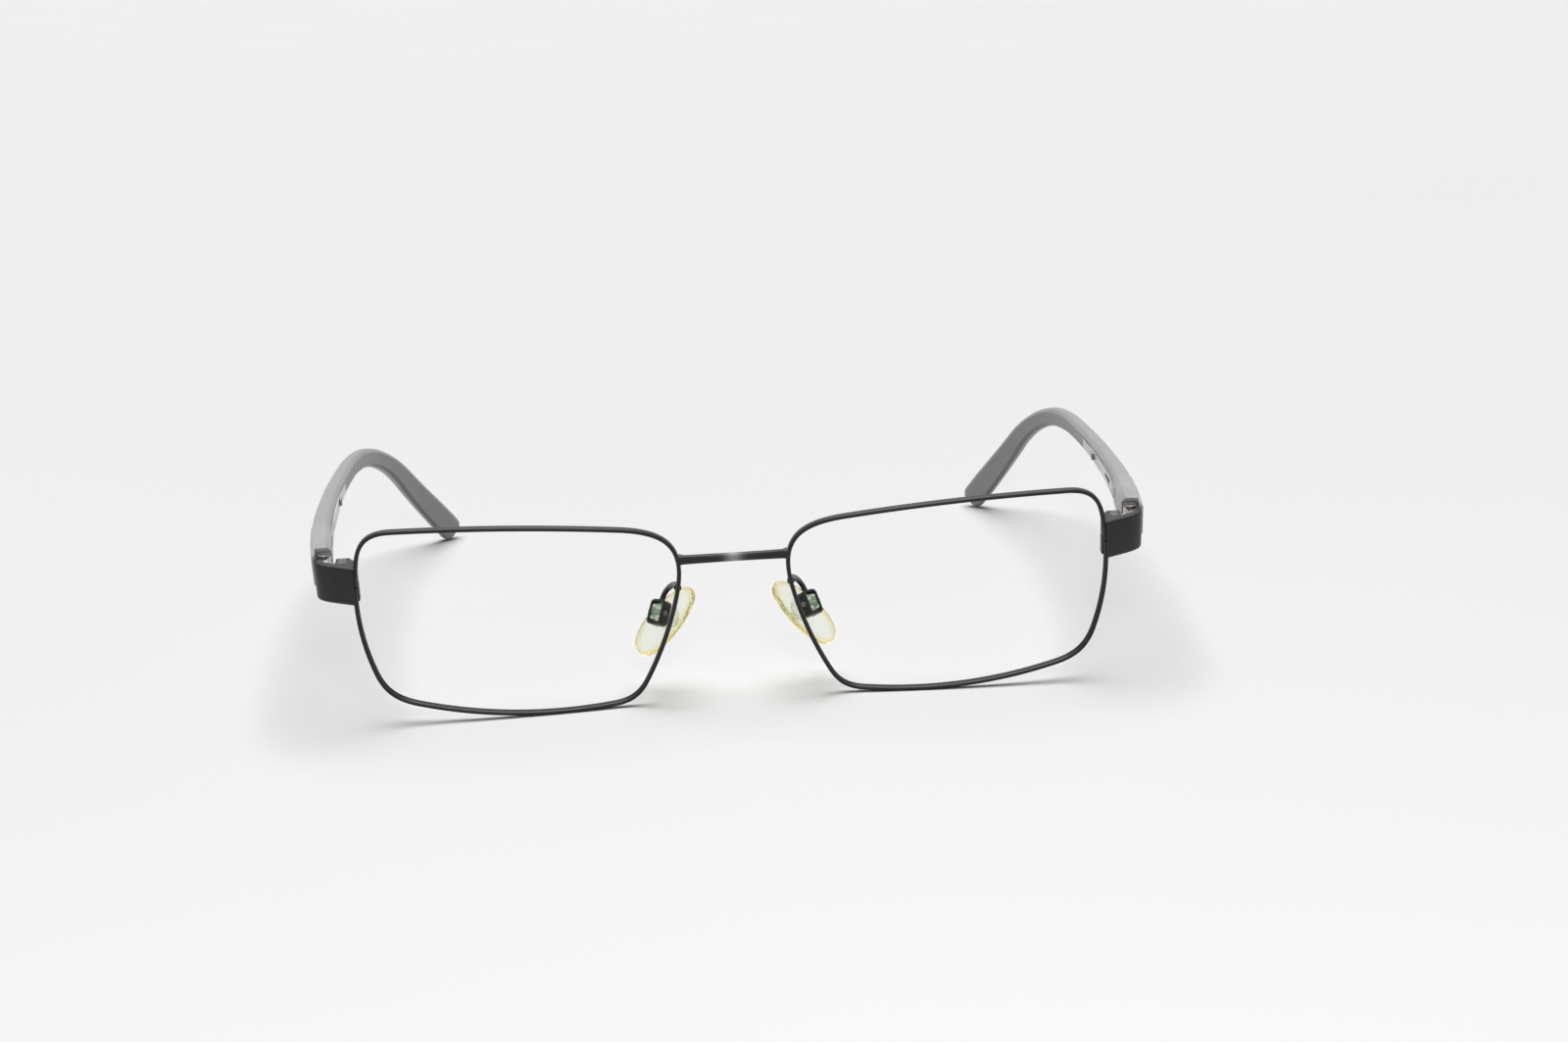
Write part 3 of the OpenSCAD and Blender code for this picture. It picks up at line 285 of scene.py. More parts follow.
class Eye:
    """Outline of the wearer's left eye, in its X-Z plane: four bowed edges and the roundings between them.

    Corners run bottom temple, bottom nasal, top nasal, top temple, and edge i leaves corner i.
    """

    CORNER_STEPS = 26
    EDGE_STEPS = 28
    CUT_EDGE_STEPS = 10  # on each side of the closing cut

    def __init__(self):
        s = self.s = bpy.context.scene.glasses_eye
        self.mid = Vector((s.nose_gap / 2 + s.lens_w / 2, -s.eye_drop))
        right, up = Vector((1, 0)), Vector((0, 1))
        sides = [(self.mid + right * (s.lens_w / 2 - s.bow_temple), rotated(up, -s.temple_lean)),
                 (self.mid - up * (s.lens_h / 2 - s.bow_bottom), rotated(right, s.bottom_slope)),
                 (self.mid - right * (s.lens_w / 2 - s.bow_nasal), rotated(up, s.nasal_lean)),
                 (self.mid + up * (s.lens_h / 2 - s.bow_top), rotated(right, s.top_slope))]
        self.corners = [meet(*sides[i], *sides[(i + 1) % 4]) for i in range(4)]
        self.reaches = (s.reach_bottom_temple, s.reach_bottom_nasal, s.reach_top_nasal, s.reach_top_temple)
        self.bows = (s.bow_bottom, s.bow_nasal, s.bow_top, s.bow_temple)
        self.cut = self.edge_at(3, bpy.context.scene.glasses_temple.hinge_z)

    def edge(self, i):
        """Straight run of the edge from its corner to the next."""
        return self.corners[(i + 1) % 4] - self.corners[i % 4]

    def edge_point(self, i, t):
        """Point of the bowed edge at a share of its run."""
        edge = self.edge(i)
        bow = turned(edge.normalized()) * self.bows[i % 4]
        return self.corners[i % 4] + edge * t + bow * 4 * t * (1 - t)

    def edge_heading(self, i, t):
        """Direction of the bowed edge at a share of its run."""
        edge = self.edge(i)
        return (edge + turned(edge.normalized()) * self.bows[i % 4] * 4 * (1 - 2 * t)).normalized()

    def start(self, i):
        """Share of the edge's run where its first corner's rounding ends."""
        return self.reaches[i % 4] / self.edge(i).length

    def stop(self, i):
        """Share of the edge's run where the next corner's rounding starts."""
        return 1 - self.reaches[(i + 1) % 4] / self.edge(i).length

    def edge_at(self, i, z):
        """Share of the edge's run where it crosses a height."""
        fall = self.edge(i).y
        t = (z - self.corners[i].y) / fall
        return t + (z - self.edge_point(i, t).y) / fall

    def run(self, i, start, stop, steps):
        """Points of the bowed edge between two shares of its run."""
        return [self.edge_point(i, start + (stop - start) * k / steps) for k in range(steps + 1)]

    def corner(self, i):
        """Points of the rounding between an edge and the one before it."""
        a, b = self.edge_point(i + 3, self.stop(i + 3)), self.edge_point(i, self.start(i))
        c = meet(a, self.edge_heading(i + 3, self.stop(i + 3)), b, self.edge_heading(i, self.start(i)))
        handles = [a, a.lerp(c, self.s.fullness), b.lerp(c, self.s.fullness), b]
        return [bezier(handles, k / self.CORNER_STEPS) for k in range(self.CORNER_STEPS + 1)]

    def path(self):
        """Points from below the closing cut, round under the eye and over it, to above the cut."""
        half = self.s.rim_cut / 2 / self.edge(3).length
        out = self.run(3, self.cut + half, self.stop(3), self.CUT_EDGE_STEPS)[:-1]
        for i in (0, 1, 2):
            out += self.corner(i) + self.run(i, self.start(i), self.stop(i), self.EDGE_STEPS)[1:-1]
        return out + self.corner(3) + self.run(3, self.start(3), self.cut - half, self.CUT_EDGE_STEPS)[1:]

    def sag(self, p):
        """Distance behind the datum plane of the eye's surface."""
        d = p - self.mid
        return d.length_squared / (2 * self.s.base_radius) + d.x * math.tan(self.s.face_form)

    def at(self, p):
        """Point of the eye's plane laid on the eye's curved surface, in the front's frame."""
        return Vector((p.x, self.sag(p), p.y))

    def nasal_x(self, z):
        """Nasal side of the outline at a height."""
        path = self.path()
        return min(a.x + (b.x - a.x) * (z - a.y) / (b.y - a.y)
                   for a, b in zip(path, path[1:]) if (a.y - z) * (b.y - z) <= 0 and a.y != b.y)


# Node trees


def feed(tree, node, values):
    """Sets a node's inputs, by place or name, to values or links."""
    for place, value in values.items():
        if isinstance(value, bpy.types.NodeSocket):
            tree.links.new(value, node.inputs[place])
        else:
            node.inputs[place].default_value = value


def add_node(tree, kind, values=None, **settings):
    """A node of this kind with its settings and its inputs."""
    node = tree.nodes.new(kind)
    for key, value in settings.items():
        setattr(node, key, value)
    feed(tree, node, values or {})
    return node


def calc(tree, operation, *values):
    """Output of a Math node."""
    return add_node(tree, "ShaderNodeMath", dict(enumerate(values)), operation=operation).outputs[0]


def wire_tree():
    """Geometry nodes: a bar of a rounded section, with a groove in its inner side, along a line of edges."""
    if "Wire bar" in bpy.data.node_groups:
        return bpy.data.node_groups["Wire bar"]
    tree = bpy.data.node_groups.new("Wire bar", "GeometryNodeTree")
    face = tree.interface
    face.new_socket("Geometry", in_out="INPUT", socket_type="NodeSocketGeometry")
    for name in ("Thickness", "Depth", "Squareness", "Groove Depth", "Groove Width"):
        face.new_socket(name, in_out="INPUT", socket_type="NodeSocketFloat")
    face.new_socket("Section Points", in_out="INPUT", socket_type="NodeSocketInt")
    face.new_socket("Material", in_out="INPUT", socket_type="NodeSocketMaterial")
    face.new_socket("Geometry", in_out="OUTPUT", socket_type="NodeSocketGeometry")
    given = tree.nodes.new("NodeGroupInput").outputs
    circle = add_node(tree, "GeometryNodeCurvePrimitiveCircle", {0: given["Section Points"], "Radius": 1})
    position = tree.nodes.new("GeometryNodeInputPosition")
    where = add_node(tree, "ShaderNodeSeparateXYZ", {0: position.outputs[0]})

    def squared(value, size):
        """The circle's coordinate pushed out towards a rectangle's side."""
        grown = calc(tree, "POWER", calc(tree, "ABSOLUTE", value), given["Squareness"])
        half = calc(tree, "MULTIPLY", size, 0.5)
        return calc(tree, "MULTIPLY", calc(tree, "MULTIPLY", grown, calc(tree, "SIGN", value)), half)

    across = squared(where.outputs["X"], given["Thickness"])
    along = squared(where.outputs["Y"], given["Depth"])
    out_of_groove = calc(tree, "DIVIDE", calc(tree, "MULTIPLY", calc(tree, "ABSOLUTE", along), 2),
                         given["Groove Width"])
    in_groove = calc(tree, "MAXIMUM", calc(tree, "SUBTRACT", 1, out_of_groove), 0)
    depth = calc(tree, "MULTIPLY", in_groove, given["Groove Depth"])
    inner = calc(tree, "LESS_THAN", where.outputs["X"], 0)
    across = calc(tree, "ADD", across, calc(tree, "MULTIPLY", depth, inner))
    section = add_node(tree, "GeometryNodeSetPosition", {
        "Geometry": circle.outputs[0],
        "Position": add_node(tree, "ShaderNodeCombineXYZ", {0: across, 1: along}).outputs[0]})
    line = add_node(tree, "GeometryNodeMeshToCurve", {0: given["Geometry"]})
    out = add_node(tree, "GeometryNodeInputNamedAttribute", {0: "out"}, data_type="FLOAT_VECTOR")
    aimed = add_node(tree, "GeometryNodeSetCurveNormal", {
        "Curve": line.outputs[0], "Normal": out.outputs[0]}, mode="FREE")
    swell = add_node(tree, "GeometryNodeInputNamedAttribute", {0: "swell"}, data_type="FLOAT")
    bar = add_node(tree, "GeometryNodeCurveToMesh", {
        "Curve": aimed.outputs[0], "Profile Curve": section.outputs[0],
        "Scale": swell.outputs[0], "Fill Caps": True})
    real = add_node(tree, "GeometryNodeRealizeInstances", {0: bar.outputs[0]})
    painted = add_node(tree, "GeometryNodeSetMaterial", {
        "Geometry": real.outputs[0], "Material": given["Material"]})
    tree.links.new(painted.outputs[0], tree.nodes.new("NodeGroupOutput").inputs[0])
    return tree


def set_inputs(modifier, values):
    """Sets geometry nodes inputs by their sockets' identifiers."""
    sockets = {item.name: item.identifier for item in modifier.node_group.interface.items_tree
               if item.item_type == "SOCKET" and item.in_out == "INPUT"}
    for name, value in values.items():
        modifier[sockets[name]] = value


def wire_piece(name, points, outs, swells, painted_highlight, material, **sizes):
    """A plain mesh of a bar along the points, whose outs point away from its grooved side."""
    mesh = bpy.data.meshes.new(name)
    mesh.from_pydata(points, [(i, i + 1) for i in range(len(points) - 1)], [])
    away = mesh.attributes.new("out", "FLOAT_VECTOR", "POINT")
    away.data.foreach_set("vector", [c for out in outs for c in out])
    mark(mesh, "swell", swells)
    # Marks where the plating takes its painted highlight.
    mark(mesh, "painted_highlight", painted_highlight)
    obj = new_object(name, mesh)
    modifier = obj.modifiers.new("Wire bar", "NODES")
    modifier.node_group = wire_tree()
    given = {key.replace("_", " ").title(): value for key, value in sizes.items()}
    plain = {"Squareness": 1.0, "Groove Depth": 0.0, "Groove Width": MM}
    set_inputs(modifier, {**plain, **given, "Material": material})
    bpy.context.view_layer.update()
    result = bpy.data.meshes.new_from_object(obj.evaluated_get(bpy.context.evaluated_depsgraph_get()))
    obj.modifiers.remove(modifier)
    obj.data = result
    tidy_mesh(result)
    return obj


# Mesh helpers


def new_object(name, data):
    """An object of this mesh, camera or lamp, in the scene."""
    obj = bpy.data.objects.new(name, data)
    bpy.context.scene.collection.objects.link(obj)
    return obj


def mark(mesh, key, values):
    """Writes a number for each point of the mesh, for a node tree to read by name."""
    mesh.attributes.new(key, "FLOAT", "POINT").data.foreach_set("value", values)


def tidy_mesh(mesh, smooth_angle=35):
    """Merges doubles, turns faces outward and shades smooth but for the sharp edges."""
    bm = bmesh.new()
    bm.from_mesh(mesh)
    bmesh.ops.remove_doubles(bm, verts=bm.verts, dist=1e-7)
    bmesh.ops.recalc_face_normals(bm, faces=bm.faces)
    limit = math.radians(smooth_angle)
    for edge in bm.edges:
        edge.smooth = edge.is_manifold and edge.calc_face_angle(0) < limit
    for face in bm.faces:
        face.smooth = True
    bm.to_mesh(mesh)
    bm.free()


def loft(name, rings, material, **marks):
    """A closed mesh through rings of points, with any named marks of its points."""
    count = len(rings[0])
    faces = []
    for i in range(len(rings) - 1):
        for j in range(count):
            k = (j + 1) % count
            faces.append((i * count + j, i * count + k, (i + 1) * count + k, (i + 1) * count + j))
    faces.append(tuple(range(count))[::-1])
    faces.append(tuple((len(rings) - 1) * count + j for j in range(count)))
    mesh = bpy.data.meshes.new(name)
    mesh.from_pydata([p for ring in rings for p in ring], [], faces)
    mesh.materials.append(material)
    for key, values in marks.items():
        mark(mesh, key, values)
    tidy_mesh(mesh)
    return new_object(name, mesh)


def rounded_corners(points, radii, steps):
    """A closed polygon with each corner rounded by an arc-like curve."""
    most = 0.45  # share of a side that one corner's rounding may take
    out = []
    count = len(points)
    for i, (p, r) in enumerate(zip(points, radii)):
        a, b = points[i - 1], points[(i + 1) % count]
        if r <= 0:
            out.append(p)
            continue
        reach = min(r, (a - p).length * most, (b - p).length * most)
        start, end = p + (a - p).normalized() * reach, p + (b - p).normalized() * reach
        for k in range(steps + 1):
            t = k / steps
            out.append(start * (1 - t) ** 2 + p * 2 * t * (1 - t) + end * t * t)
    return out


def softened_copy(name, node, width, material, **marks):
    """A copy of a solid with its sharp edges broken by a small round, and any named marks of its points."""
    flat, sharp = math.radians(1.5), math.radians(28)
    bm = bmesh.new()
    bm.from_mesh(frame["nodes"][node].data)
    bmesh.ops.remove_doubles(bm, verts=bm.verts, dist=1e-6)
    bmesh.ops.dissolve_limit(bm, angle_limit=flat, verts=bm.verts, edges=bm.edges)
    edges = [e for e in bm.edges if e.is_manifold and e.calc_face_angle(0) > sharp]
    bmesh.ops.bevel(bm, geom=edges, offset=width * MM, segments=2, profile=0.5,
                    affect="EDGES", clamp_overlap=True)
    mesh = bpy.data.meshes.new(name)
    bm.to_mesh(mesh)
    bm.free()
    mesh.materials.clear()
    mesh.materials.append(material)
    tidy_mesh(mesh, smooth_angle=40)
    for key, holds in marks.items():
        mark(mesh, key, [float(holds(v.co)) for v in mesh.vertices])
    return new_object(name, mesh)


def dress(obj, body, node):
    """The piece rides on the body and stands for the solid, which it hides."""
    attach(obj, body)
    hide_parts(node)


# Materials


def finish(name):
    """Has a finish built once, under this name, from its tree, its shader and the object coordinates."""
    def named(build):
        def material():
            if name not in bpy.data.materials:
                made = bpy.data.materials.new(name)
                made.use_nodes = True
                tree = made.node_tree
                shader = next(n for n in tree.nodes if n.type == "BSDF_PRINCIPLED")
                build(tree, shader, tree.nodes.new("ShaderNodeTexCoord").outputs["Object"])
            return bpy.data.materials[name]
        return material
    return named


def noise(tree, where, scale, detail, stretch=None):
    """Noise on object coordinates, drawn out along an axis where stretch is given."""
    if stretch:
        where = add_node(tree, "ShaderNodeMapping", {"Vector": where, "Scale": stretch}).outputs[0]
    return add_node(tree, "ShaderNodeTexNoise", {
        "Vector": where, "Scale": scale, "Detail": detail, "Roughness": 0.55}).outputs["Fac"]


def ramp(tree, value, low, high, start=0.35, stop=0.65):
    """Passes from one colour to another between two values."""
    node = add_node(tree, "ShaderNodeValToRGB", {0: value})
    for element, place, colour in zip(node.color_ramp.elements, (start, stop), (low, high)):
        element.position = place
        element.color = (*colour, 1)
    return node.outputs[0]


def blend(tree, share, colour, other):
    """Passes from one colour to another by a share from 0 to 1."""
    if not isinstance(other, bpy.types.NodeSocket):
        other = (*other, 1)
    return add_node(tree, "ShaderNodeMix", {0: share, 6: colour, 7: other}, data_type="RGBA").outputs[2]


def marked(tree, name):
    """The number that the mesh gives its points under a name."""
    return add_node(tree, "ShaderNodeAttribute", attribute_name=name).outputs["Fac"]


def grey(level):
    """A neutral colour."""
    return (level, level, level)


def shade(colour, factor):
    """A colour made lighter or darker."""
    return tuple(min(1, c * factor) for c in colour)


def bump(tree, height, distance):
    """A surface whose height varies by a distance in metres."""
    return add_node(tree, "ShaderNodeBump", {"Height": height, "Distance": distance}).outputs[0]


@finish("plating_black")
def black_metal(tree, shader, where):
    """Satin black plating with faint mottling and a few paler specks, and a painted highlight where the mesh
    marks one.
    """
    base = bpy.context.scene.glasses_finish.black
    # Pale colour of the painted highlight on the bridge's middle.
    highlight_colour = (0.3, 0.288, 0.291)
    mottle = ramp(tree, noise(tree, where, scale=900, detail=5), shade(base, 0.7), shade(base, 1.5))
    specks = ramp(tree, noise(tree, where, scale=2100, detail=3), grey(0), grey(1),
                  start=0.66, stop=0.74)
    plating = blend(tree, specks, mottle, shade(base, 9))
    feed(tree, shader, {
        "Base Color": blend(tree, marked(tree, "painted_highlight"), plating, highlight_colour),
        "Roughness": ramp(tree, noise(tree, where, scale=2600, detail=3), grey(0.3), grey(0.42)),
        "Normal": bump(tree, noise(tree, where, scale=6000, detail=2), distance=0.000012),
        "Specular IOR Level": 0.34})


@finish("lacquer_silver")
def silver_metal(tree, shader, where):
    """Silver-grey lacquer over metal, brushed along the temple, and bare where the mesh says strip."""
    base = bpy.context.scene.glasses_finish.silver
    bare_roughness = 0.24
    grain = noise(tree, where, scale=1, detail=4, stretch=(5200, 260, 5200))
    lacquer = ramp(tree, grain, shade(base, 0.88), shade(base, 1.12))
    strip = marked(tree, "strip")
    roughness = add_node(tree, "ShaderNodeMix", {
        0: strip, 2: ramp(tree, grain, grey(0.3), grey(0.42)), 3: bare_roughness})
    feed(tree, shader, {
        "Base Color": blend(tree, strip, lacquer, shade(base, 2)),
        "Roughness": roughness.outputs[0],
        "Normal": bump(tree, grain, distance=0.000008),
        "Metallic": calc(tree, "MULTIPLY_ADD", strip, 0.4, 0.5),
        "Coat Weight": 0.15,
        "Coat Roughness": 0.25})


@finish("plastic_pearl")
def grey_plastic(tree, shader, where):
    """Silver-grey plastic with fine pearly flecks, darker where the mesh says so: painted shade on the lower
    inner bevel, and the seam.
    """
    base = bpy.context.scene.glasses_finish.grey
    fleck = noise(tree, where, scale=5200, detail=2, stretch=(1, 0.4, 1))
    cloud = noise(tree, where, scale=90, detail=3)
    mixed = calc(tree, "ADD", calc(tree, "MULTIPLY", fleck, 0.7), calc(tree, "MULTIPLY", cloud, 0.3))
    light = ramp(tree, mixed, shade(base, 0.88), shade(base, 1.1))
    feed(tree, shader, {
        # Painted shade on the lower inner bevel, and a darker seam, at 0.55 of the plastic's colour.
        "Base Color": blend(tree, marked(tree, "layer"), light, shade(base, 0.55)),
        "Roughness": ramp(tree, cloud, grey(0.36), grey(0.46)),
        "Normal": bump(tree, noise(tree, where, scale=3800, detail=3), distance=0.00001),
        "Metallic": 0.1,
        "Coat Weight": 0.1,
        "Coat Roughness": 0.3})


def turned_metal(tree, shader, where, tint):
    """Turned metal with fine tool marks."""
    base = [a * b for a, b in zip(bpy.context.scene.glasses_finish.steel, tint)]
    tool_marks = noise(tree, where, scale=1, detail=3, stretch=(3000, 3000, 14000))
    feed(tree, shader, {
        "Base Color": ramp(tree, tool_marks, shade(base, 0.8), shade(base, 1.15)),
        "Roughness": ramp(tree, tool_marks, grey(0.24), grey(0.36)),
        "Normal": bump(tree, tool_marks, distance=0.000006),
        "Metallic": 1})


@finish("steel_turned")
def steel(tree, shader, where):
    """Bright steel of the hinges and the pieces inside."""
    turned_metal(tree, shader, where, (1, 1, 1))


@finish("steel_blackened")
def dark_steel(tree, shader, where):
    """Blackened screws, rubbed grey."""
    turned_metal(tree, shader, where, (0.32, 0.31, 0.33))


@finish("brass_turned")
def brass(tree, shader, where):
    """Turned brass of the sliders' bushes."""
    turned_metal(tree, shader, where, (1.9, 1.5, 0.8))


@finish("silicone_clear")
def clear_silicone(tree, shader, where):
    """Clear silicone, yellowed along its edge; the mesh says how near each point is to the edge."""
    colours = bpy.context.scene.glasses_finish
    cloud = noise(tree, where, scale=420, detail=3)
    uneven = calc(tree, "MULTIPLY", calc(tree, "SUBTRACT", cloud, 0.5), 0.25)
    aged = calc(tree, "ADD", marked(tree, "edge"), uneven)
    feed(tree, shader, {
        "Base Color": ramp(tree, aged, colours.clear, colours.amber, start=0.5, stop=1.05),
        "Roughness": ramp(tree, noise(tree, where, scale=1800, detail=3), grey(0.08), grey(0.16)),
        "Normal": bump(tree, noise(tree, where, scale=700, detail=3), distance=0.00001),
        "Transmission Weight": 0.94,
        "IOR": 1.2})


@finish("insert_clear")
def clear_plastic(tree, shader, where):
    """Hard clear plastic of the inserts, greener in the thick boss that stands in the box."""
    cloud = noise(tree, where, scale=500, detail=2)
    disc = ramp(tree, cloud, (0.9, 0.95, 0.88), (0.95, 0.98, 0.93))
    thick = ramp(tree, cloud, (0.62, 0.79, 0.6), (0.72, 0.87, 0.7))
    feed(tree, shader, {
        "Base Color": blend(tree, marked(tree, "boss"), disc, thick),
        "Roughness": ramp(tree, noise(tree, where, scale=2500, detail=2), grey(0.2), grey(0.3)),
        "Transmission Weight": 0.82,
        "IOR": 1.14})


@finish("floor_white")
def pale_floor(tree, shader, where):
    """Matt, almost even floor."""
    level = bpy.context.scene.glasses_stage.floor_grey
    feed(tree, shader, {
        "Base Color": ramp(tree, noise(tree, where, scale=3, detail=3), grey(level * 0.985), grey(level)),
        "Roughness": 0.8,
        "Specular IOR Level": 0.1})


# Pieces


class GLASSES_OT_rims(bpy.types.Operator):
    """Grooved wire rims, bent round each eye from the closing block and back to it."""

    bl_idname = "glasses.rims"
    bl_label = "Rims"

    def execute(self, context):
        eye = Eye()
        path = eye.path()
        for name, side in SIDES.items():
            outs = []
            for i in range(len(path)):
                out = turned(path[min(i + 1, len(path) - 1)] - path[max(i - 1, 0)])
                outs.append(placed_direction((out.x, 0, out.y), side))
            line = placed([eye.at(p) for p in path], side)
            # The rims get no painted highlight.
            even, unhighlighted = [1] * len(path), [0] * len(path)
            piece = wire_piece("rim_wire_" + name, line, outs, even, unhighlighted, black_metal(),
                               thickness=eye.s.rim_t * MM, depth=eye.s.rim_d * MM, squareness=0.62,
                               groove_depth=eye.s.groove_d * MM, groove_width=eye.s.groove_w * MM,
                               section_points=36)
            dress(piece, "front", "rim_" + name)
        return {"FINISHED"}


class GLASSES_OT_bridge(bpy.types.Operator):
    """Arched bridge bar soldered between the rims."""

    bl_idname = "glasses.bridge"
    bl_label = "Bridge"

    STEPS = 40  # on each side of the middle
    SHORT = 0.15  # share of the rim's wire by which the bar's end stops short of its centre
    SWELL = 0.12  # share by which the bar thickens towards its ends
    FLARE = 0.3  # what the solder adds at its very ends
    FLARED = 0.1  # share of the half length over which it does

    def execute(self, context):
        eye, s = Eye(), context.scene.glasses_bridge
        heights = [s.z + k * s.h * 0.3 for k in range(-2, 3)]
        half = min(eye.nasal_x(z) for z in heights) - eye.s.rim_t * self.SHORT
        back = eye.sag(Vector((eye.nasal_x(s.z), s.z)))
        points, swells, painted_highlight = [], [], []
        for k in range(-self.STEPS, self.STEPS + 1):
            t = k / self.STEPS
            arch = 1 - t * t
            flare = max(0, (abs(t) - 1 + self.FLARED) / self.FLARED) ** 2
            points.append((t * half, back - s.forward * arch, s.z + s.rise * arch))
            swells.append(1 + self.SWELL * t * t + self.FLARE * flare)
            # Painted highlight: the bar's middle is paler, falling off towards its ends.
            painted_highlight.append(math.exp(-(t * half / s.highlight_half) ** 2))
        up = [placed_direction((0, 0, 1), 1)] * len(points)
        piece = wire_piece("bridge_bar", placed(points, 1), up, swells, painted_highlight, black_metal(),
                           thickness=s.h * MM, depth=s.d * MM, squareness=0.8, section_points=40)
        dress(piece, "front", "bridge")
        return {"FINISHED"}


class GLASSES_OT_endpieces(bpy.types.Operator):
    """Endpieces: plates bent round the front's corners, with soft edges, soldered against the rims."""

    bl_idname = "glasses.endpieces"
    bl_label = "Endpieces"

    SKIN = 0.005  # the plate's faces lie this much inside the solid's
    LIP = 0.15  # rounding of the edge at the seam
    OUTER_ROUND, INNER_ROUND = 0.9, 0.2  # reach of the roundings along the plate's edges
    ROOT = 0.3  # share of the rim's wire by which the root ends outside the wire's centre

    def bend(self, s, pin):
        """Where the plate's outer face leaves the front, turns and reaches the temple's side."""
        ahead = Vector((math.cos(s.sweep), math.sin(s.sweep)))
        corner = Vector((pin.x + s.hinge_inset, pin.y - s.hinge_back))
        reach = s.corner_r * math.tan((math.pi / 2 - s.sweep) / 2)
        return ahead, (corner - ahead * s.bend_start, corner, corner + Vector((0, reach)))

    def stations(self, s, eye, pin):
        """Places along the outer face in plan, each with its outward direction and its drawing in."""
        ahead, (start, corner, stop) = self.bend(s, pin)
        rim_x = eye.edge_point(3, eye.cut).x + eye.s.rim_t / 2
        root = corner - ahead * (corner.x - rim_x) / ahead.x
        out = [(root.lerp(start, k / 6), -turned(ahead), self.SKIN) for k in range(7)]
        for k in range(1, 17):
            t = k / 16
            first, second = start.lerp(corner, t), corner.lerp(stop, t)
            out.append((first.lerp(second, t), -turned(second - first).normalized(), self.SKIN))
        back = pin.y - s.wing * math.cos(s.splay) - (s.w_front - s.hinge_inset) * math.sin(s.splay) - s.seam
        lip_y = back - self.LIP
        for y, drawn_in in (((stop.y + lip_y) / 2, self.SKIN), (lip_y, self.SKIN),
                            (back - self.LIP / 3, self.LIP / 3), (back, self.LIP)):
            out.append((Vector((corner.x, y)), Vector((1, 0)), drawn_in))
        return ahead, out

    def execute(self, context):
        s, eye = context.scene.glasses_temple, Eye()
        ahead, stations = self.stations(s, eye, hinge_pin())
        radii = (self.OUTER_ROUND, self.OUTER_ROUND, self.INNER_ROUND, self.INNER_ROUND)
        rings = []
        for i, (p, away, drawn_in) in enumerate(stations):
            half, thick = s.plate_h / 2 - drawn_in, s.plate_t - drawn_in
            corners = ((drawn_in, half), (drawn_in, -half), (thick, -half), (thick, half))
            ring = []
            for c in rounded_corners([Vector(c) for c in corners], radii, 6):
                q, z = p - away * c.x, s.hinge_z + c.y
                if i == 0:
                    wire_x = eye.edge_point(3, eye.edge_at(3, z)).x + eye.s.rim_t * self.ROOT
                    q = q + ahead * (wire_x - q.x) / ahead.x
                ring.append(Vector((q.x, q.y, z)))
            rings.append(ring)
        for name, side in SIDES.items():
            piece = loft("endpiece_plate_" + name, [placed(ring, side) for ring in rings], black_metal())
            dress(piece, "front", "endpiece_" + name)
        return {"FINISHED"}


class GLASSES_OT_hardware(bpy.types.Operator):
    """Closing blocks, hinges, screws, boxes, metal temple fronts and inserts, with their edges broken."""

    bl_idname = "glasses.hardware"
    bl_label = "Blocks, hinges and metal fronts"

    # Body, slot, width of the broken edges and material of each kind of piece
    PLAN = {
        "closing_block_upper": ("front", "black_metal", 0.08, black_metal),
        "closing_block_lower": ("front", "black_metal", 0.08, black_metal),
        "hinge_leaf": ("front", "steel", 0.08, steel),
        "pad_box": ("front", "black_metal", 0.08, black_metal),
        "closing_screw": ("front", "steel", 0.05, dark_steel),
        "hinge_screw": ("front", "steel", 0.05, dark_steel),
        "pad_screw": ("front", "steel", 0.05, dark_steel),
        "hinge_slider": ("slider_{}", "steel", 0.05, steel),
        "temple_screw": ("temple_{}", "steel", 0.04, dark_steel),
        "temple_front": ("temple_{}", "silver_metal", 0.12, silver_metal),
        "pad_insert": ("pad_{}", "clear_plastic", 0.08, clear_plastic),
    }

    def marks(self, node, side):
        """What a piece's mesh says of its points: the temple front's strip and the insert's boss."""
        if node == "temple_front":
            temple = Temple()
            end = placed([temple.at(temple.s.metal)], side)[0]
            behind = placed_direction(temple.along(temple.s.metal), side)
            return {"strip": lambda co: (co - end).dot(behind) > 0.3 * MM}
        if node == "pad_insert":
            s = bpy.context.scene.glasses_pad
            middle = placed([pad_centre()], side)[0]
            to_box = placed_direction(pad_turn() @ Vector((1, 0, 0)), side)
            return {"boss": lambda co: (co - middle).dot(to_box) > (s.t + s.gap) / 2 * MM}
        return {}

    def execute(self, context):
        for node, (body, slot, width, material) in self.PLAN.items():
            for name, side in SIDES.items():
                piece = softened_copy(f"{node}_finished_{name}", f"{node}_{name}", width, material(),
                                      **self.marks(node, side))
                dress(piece, body.format(name), f"{node}_{name}")
        return {"FINISHED"}


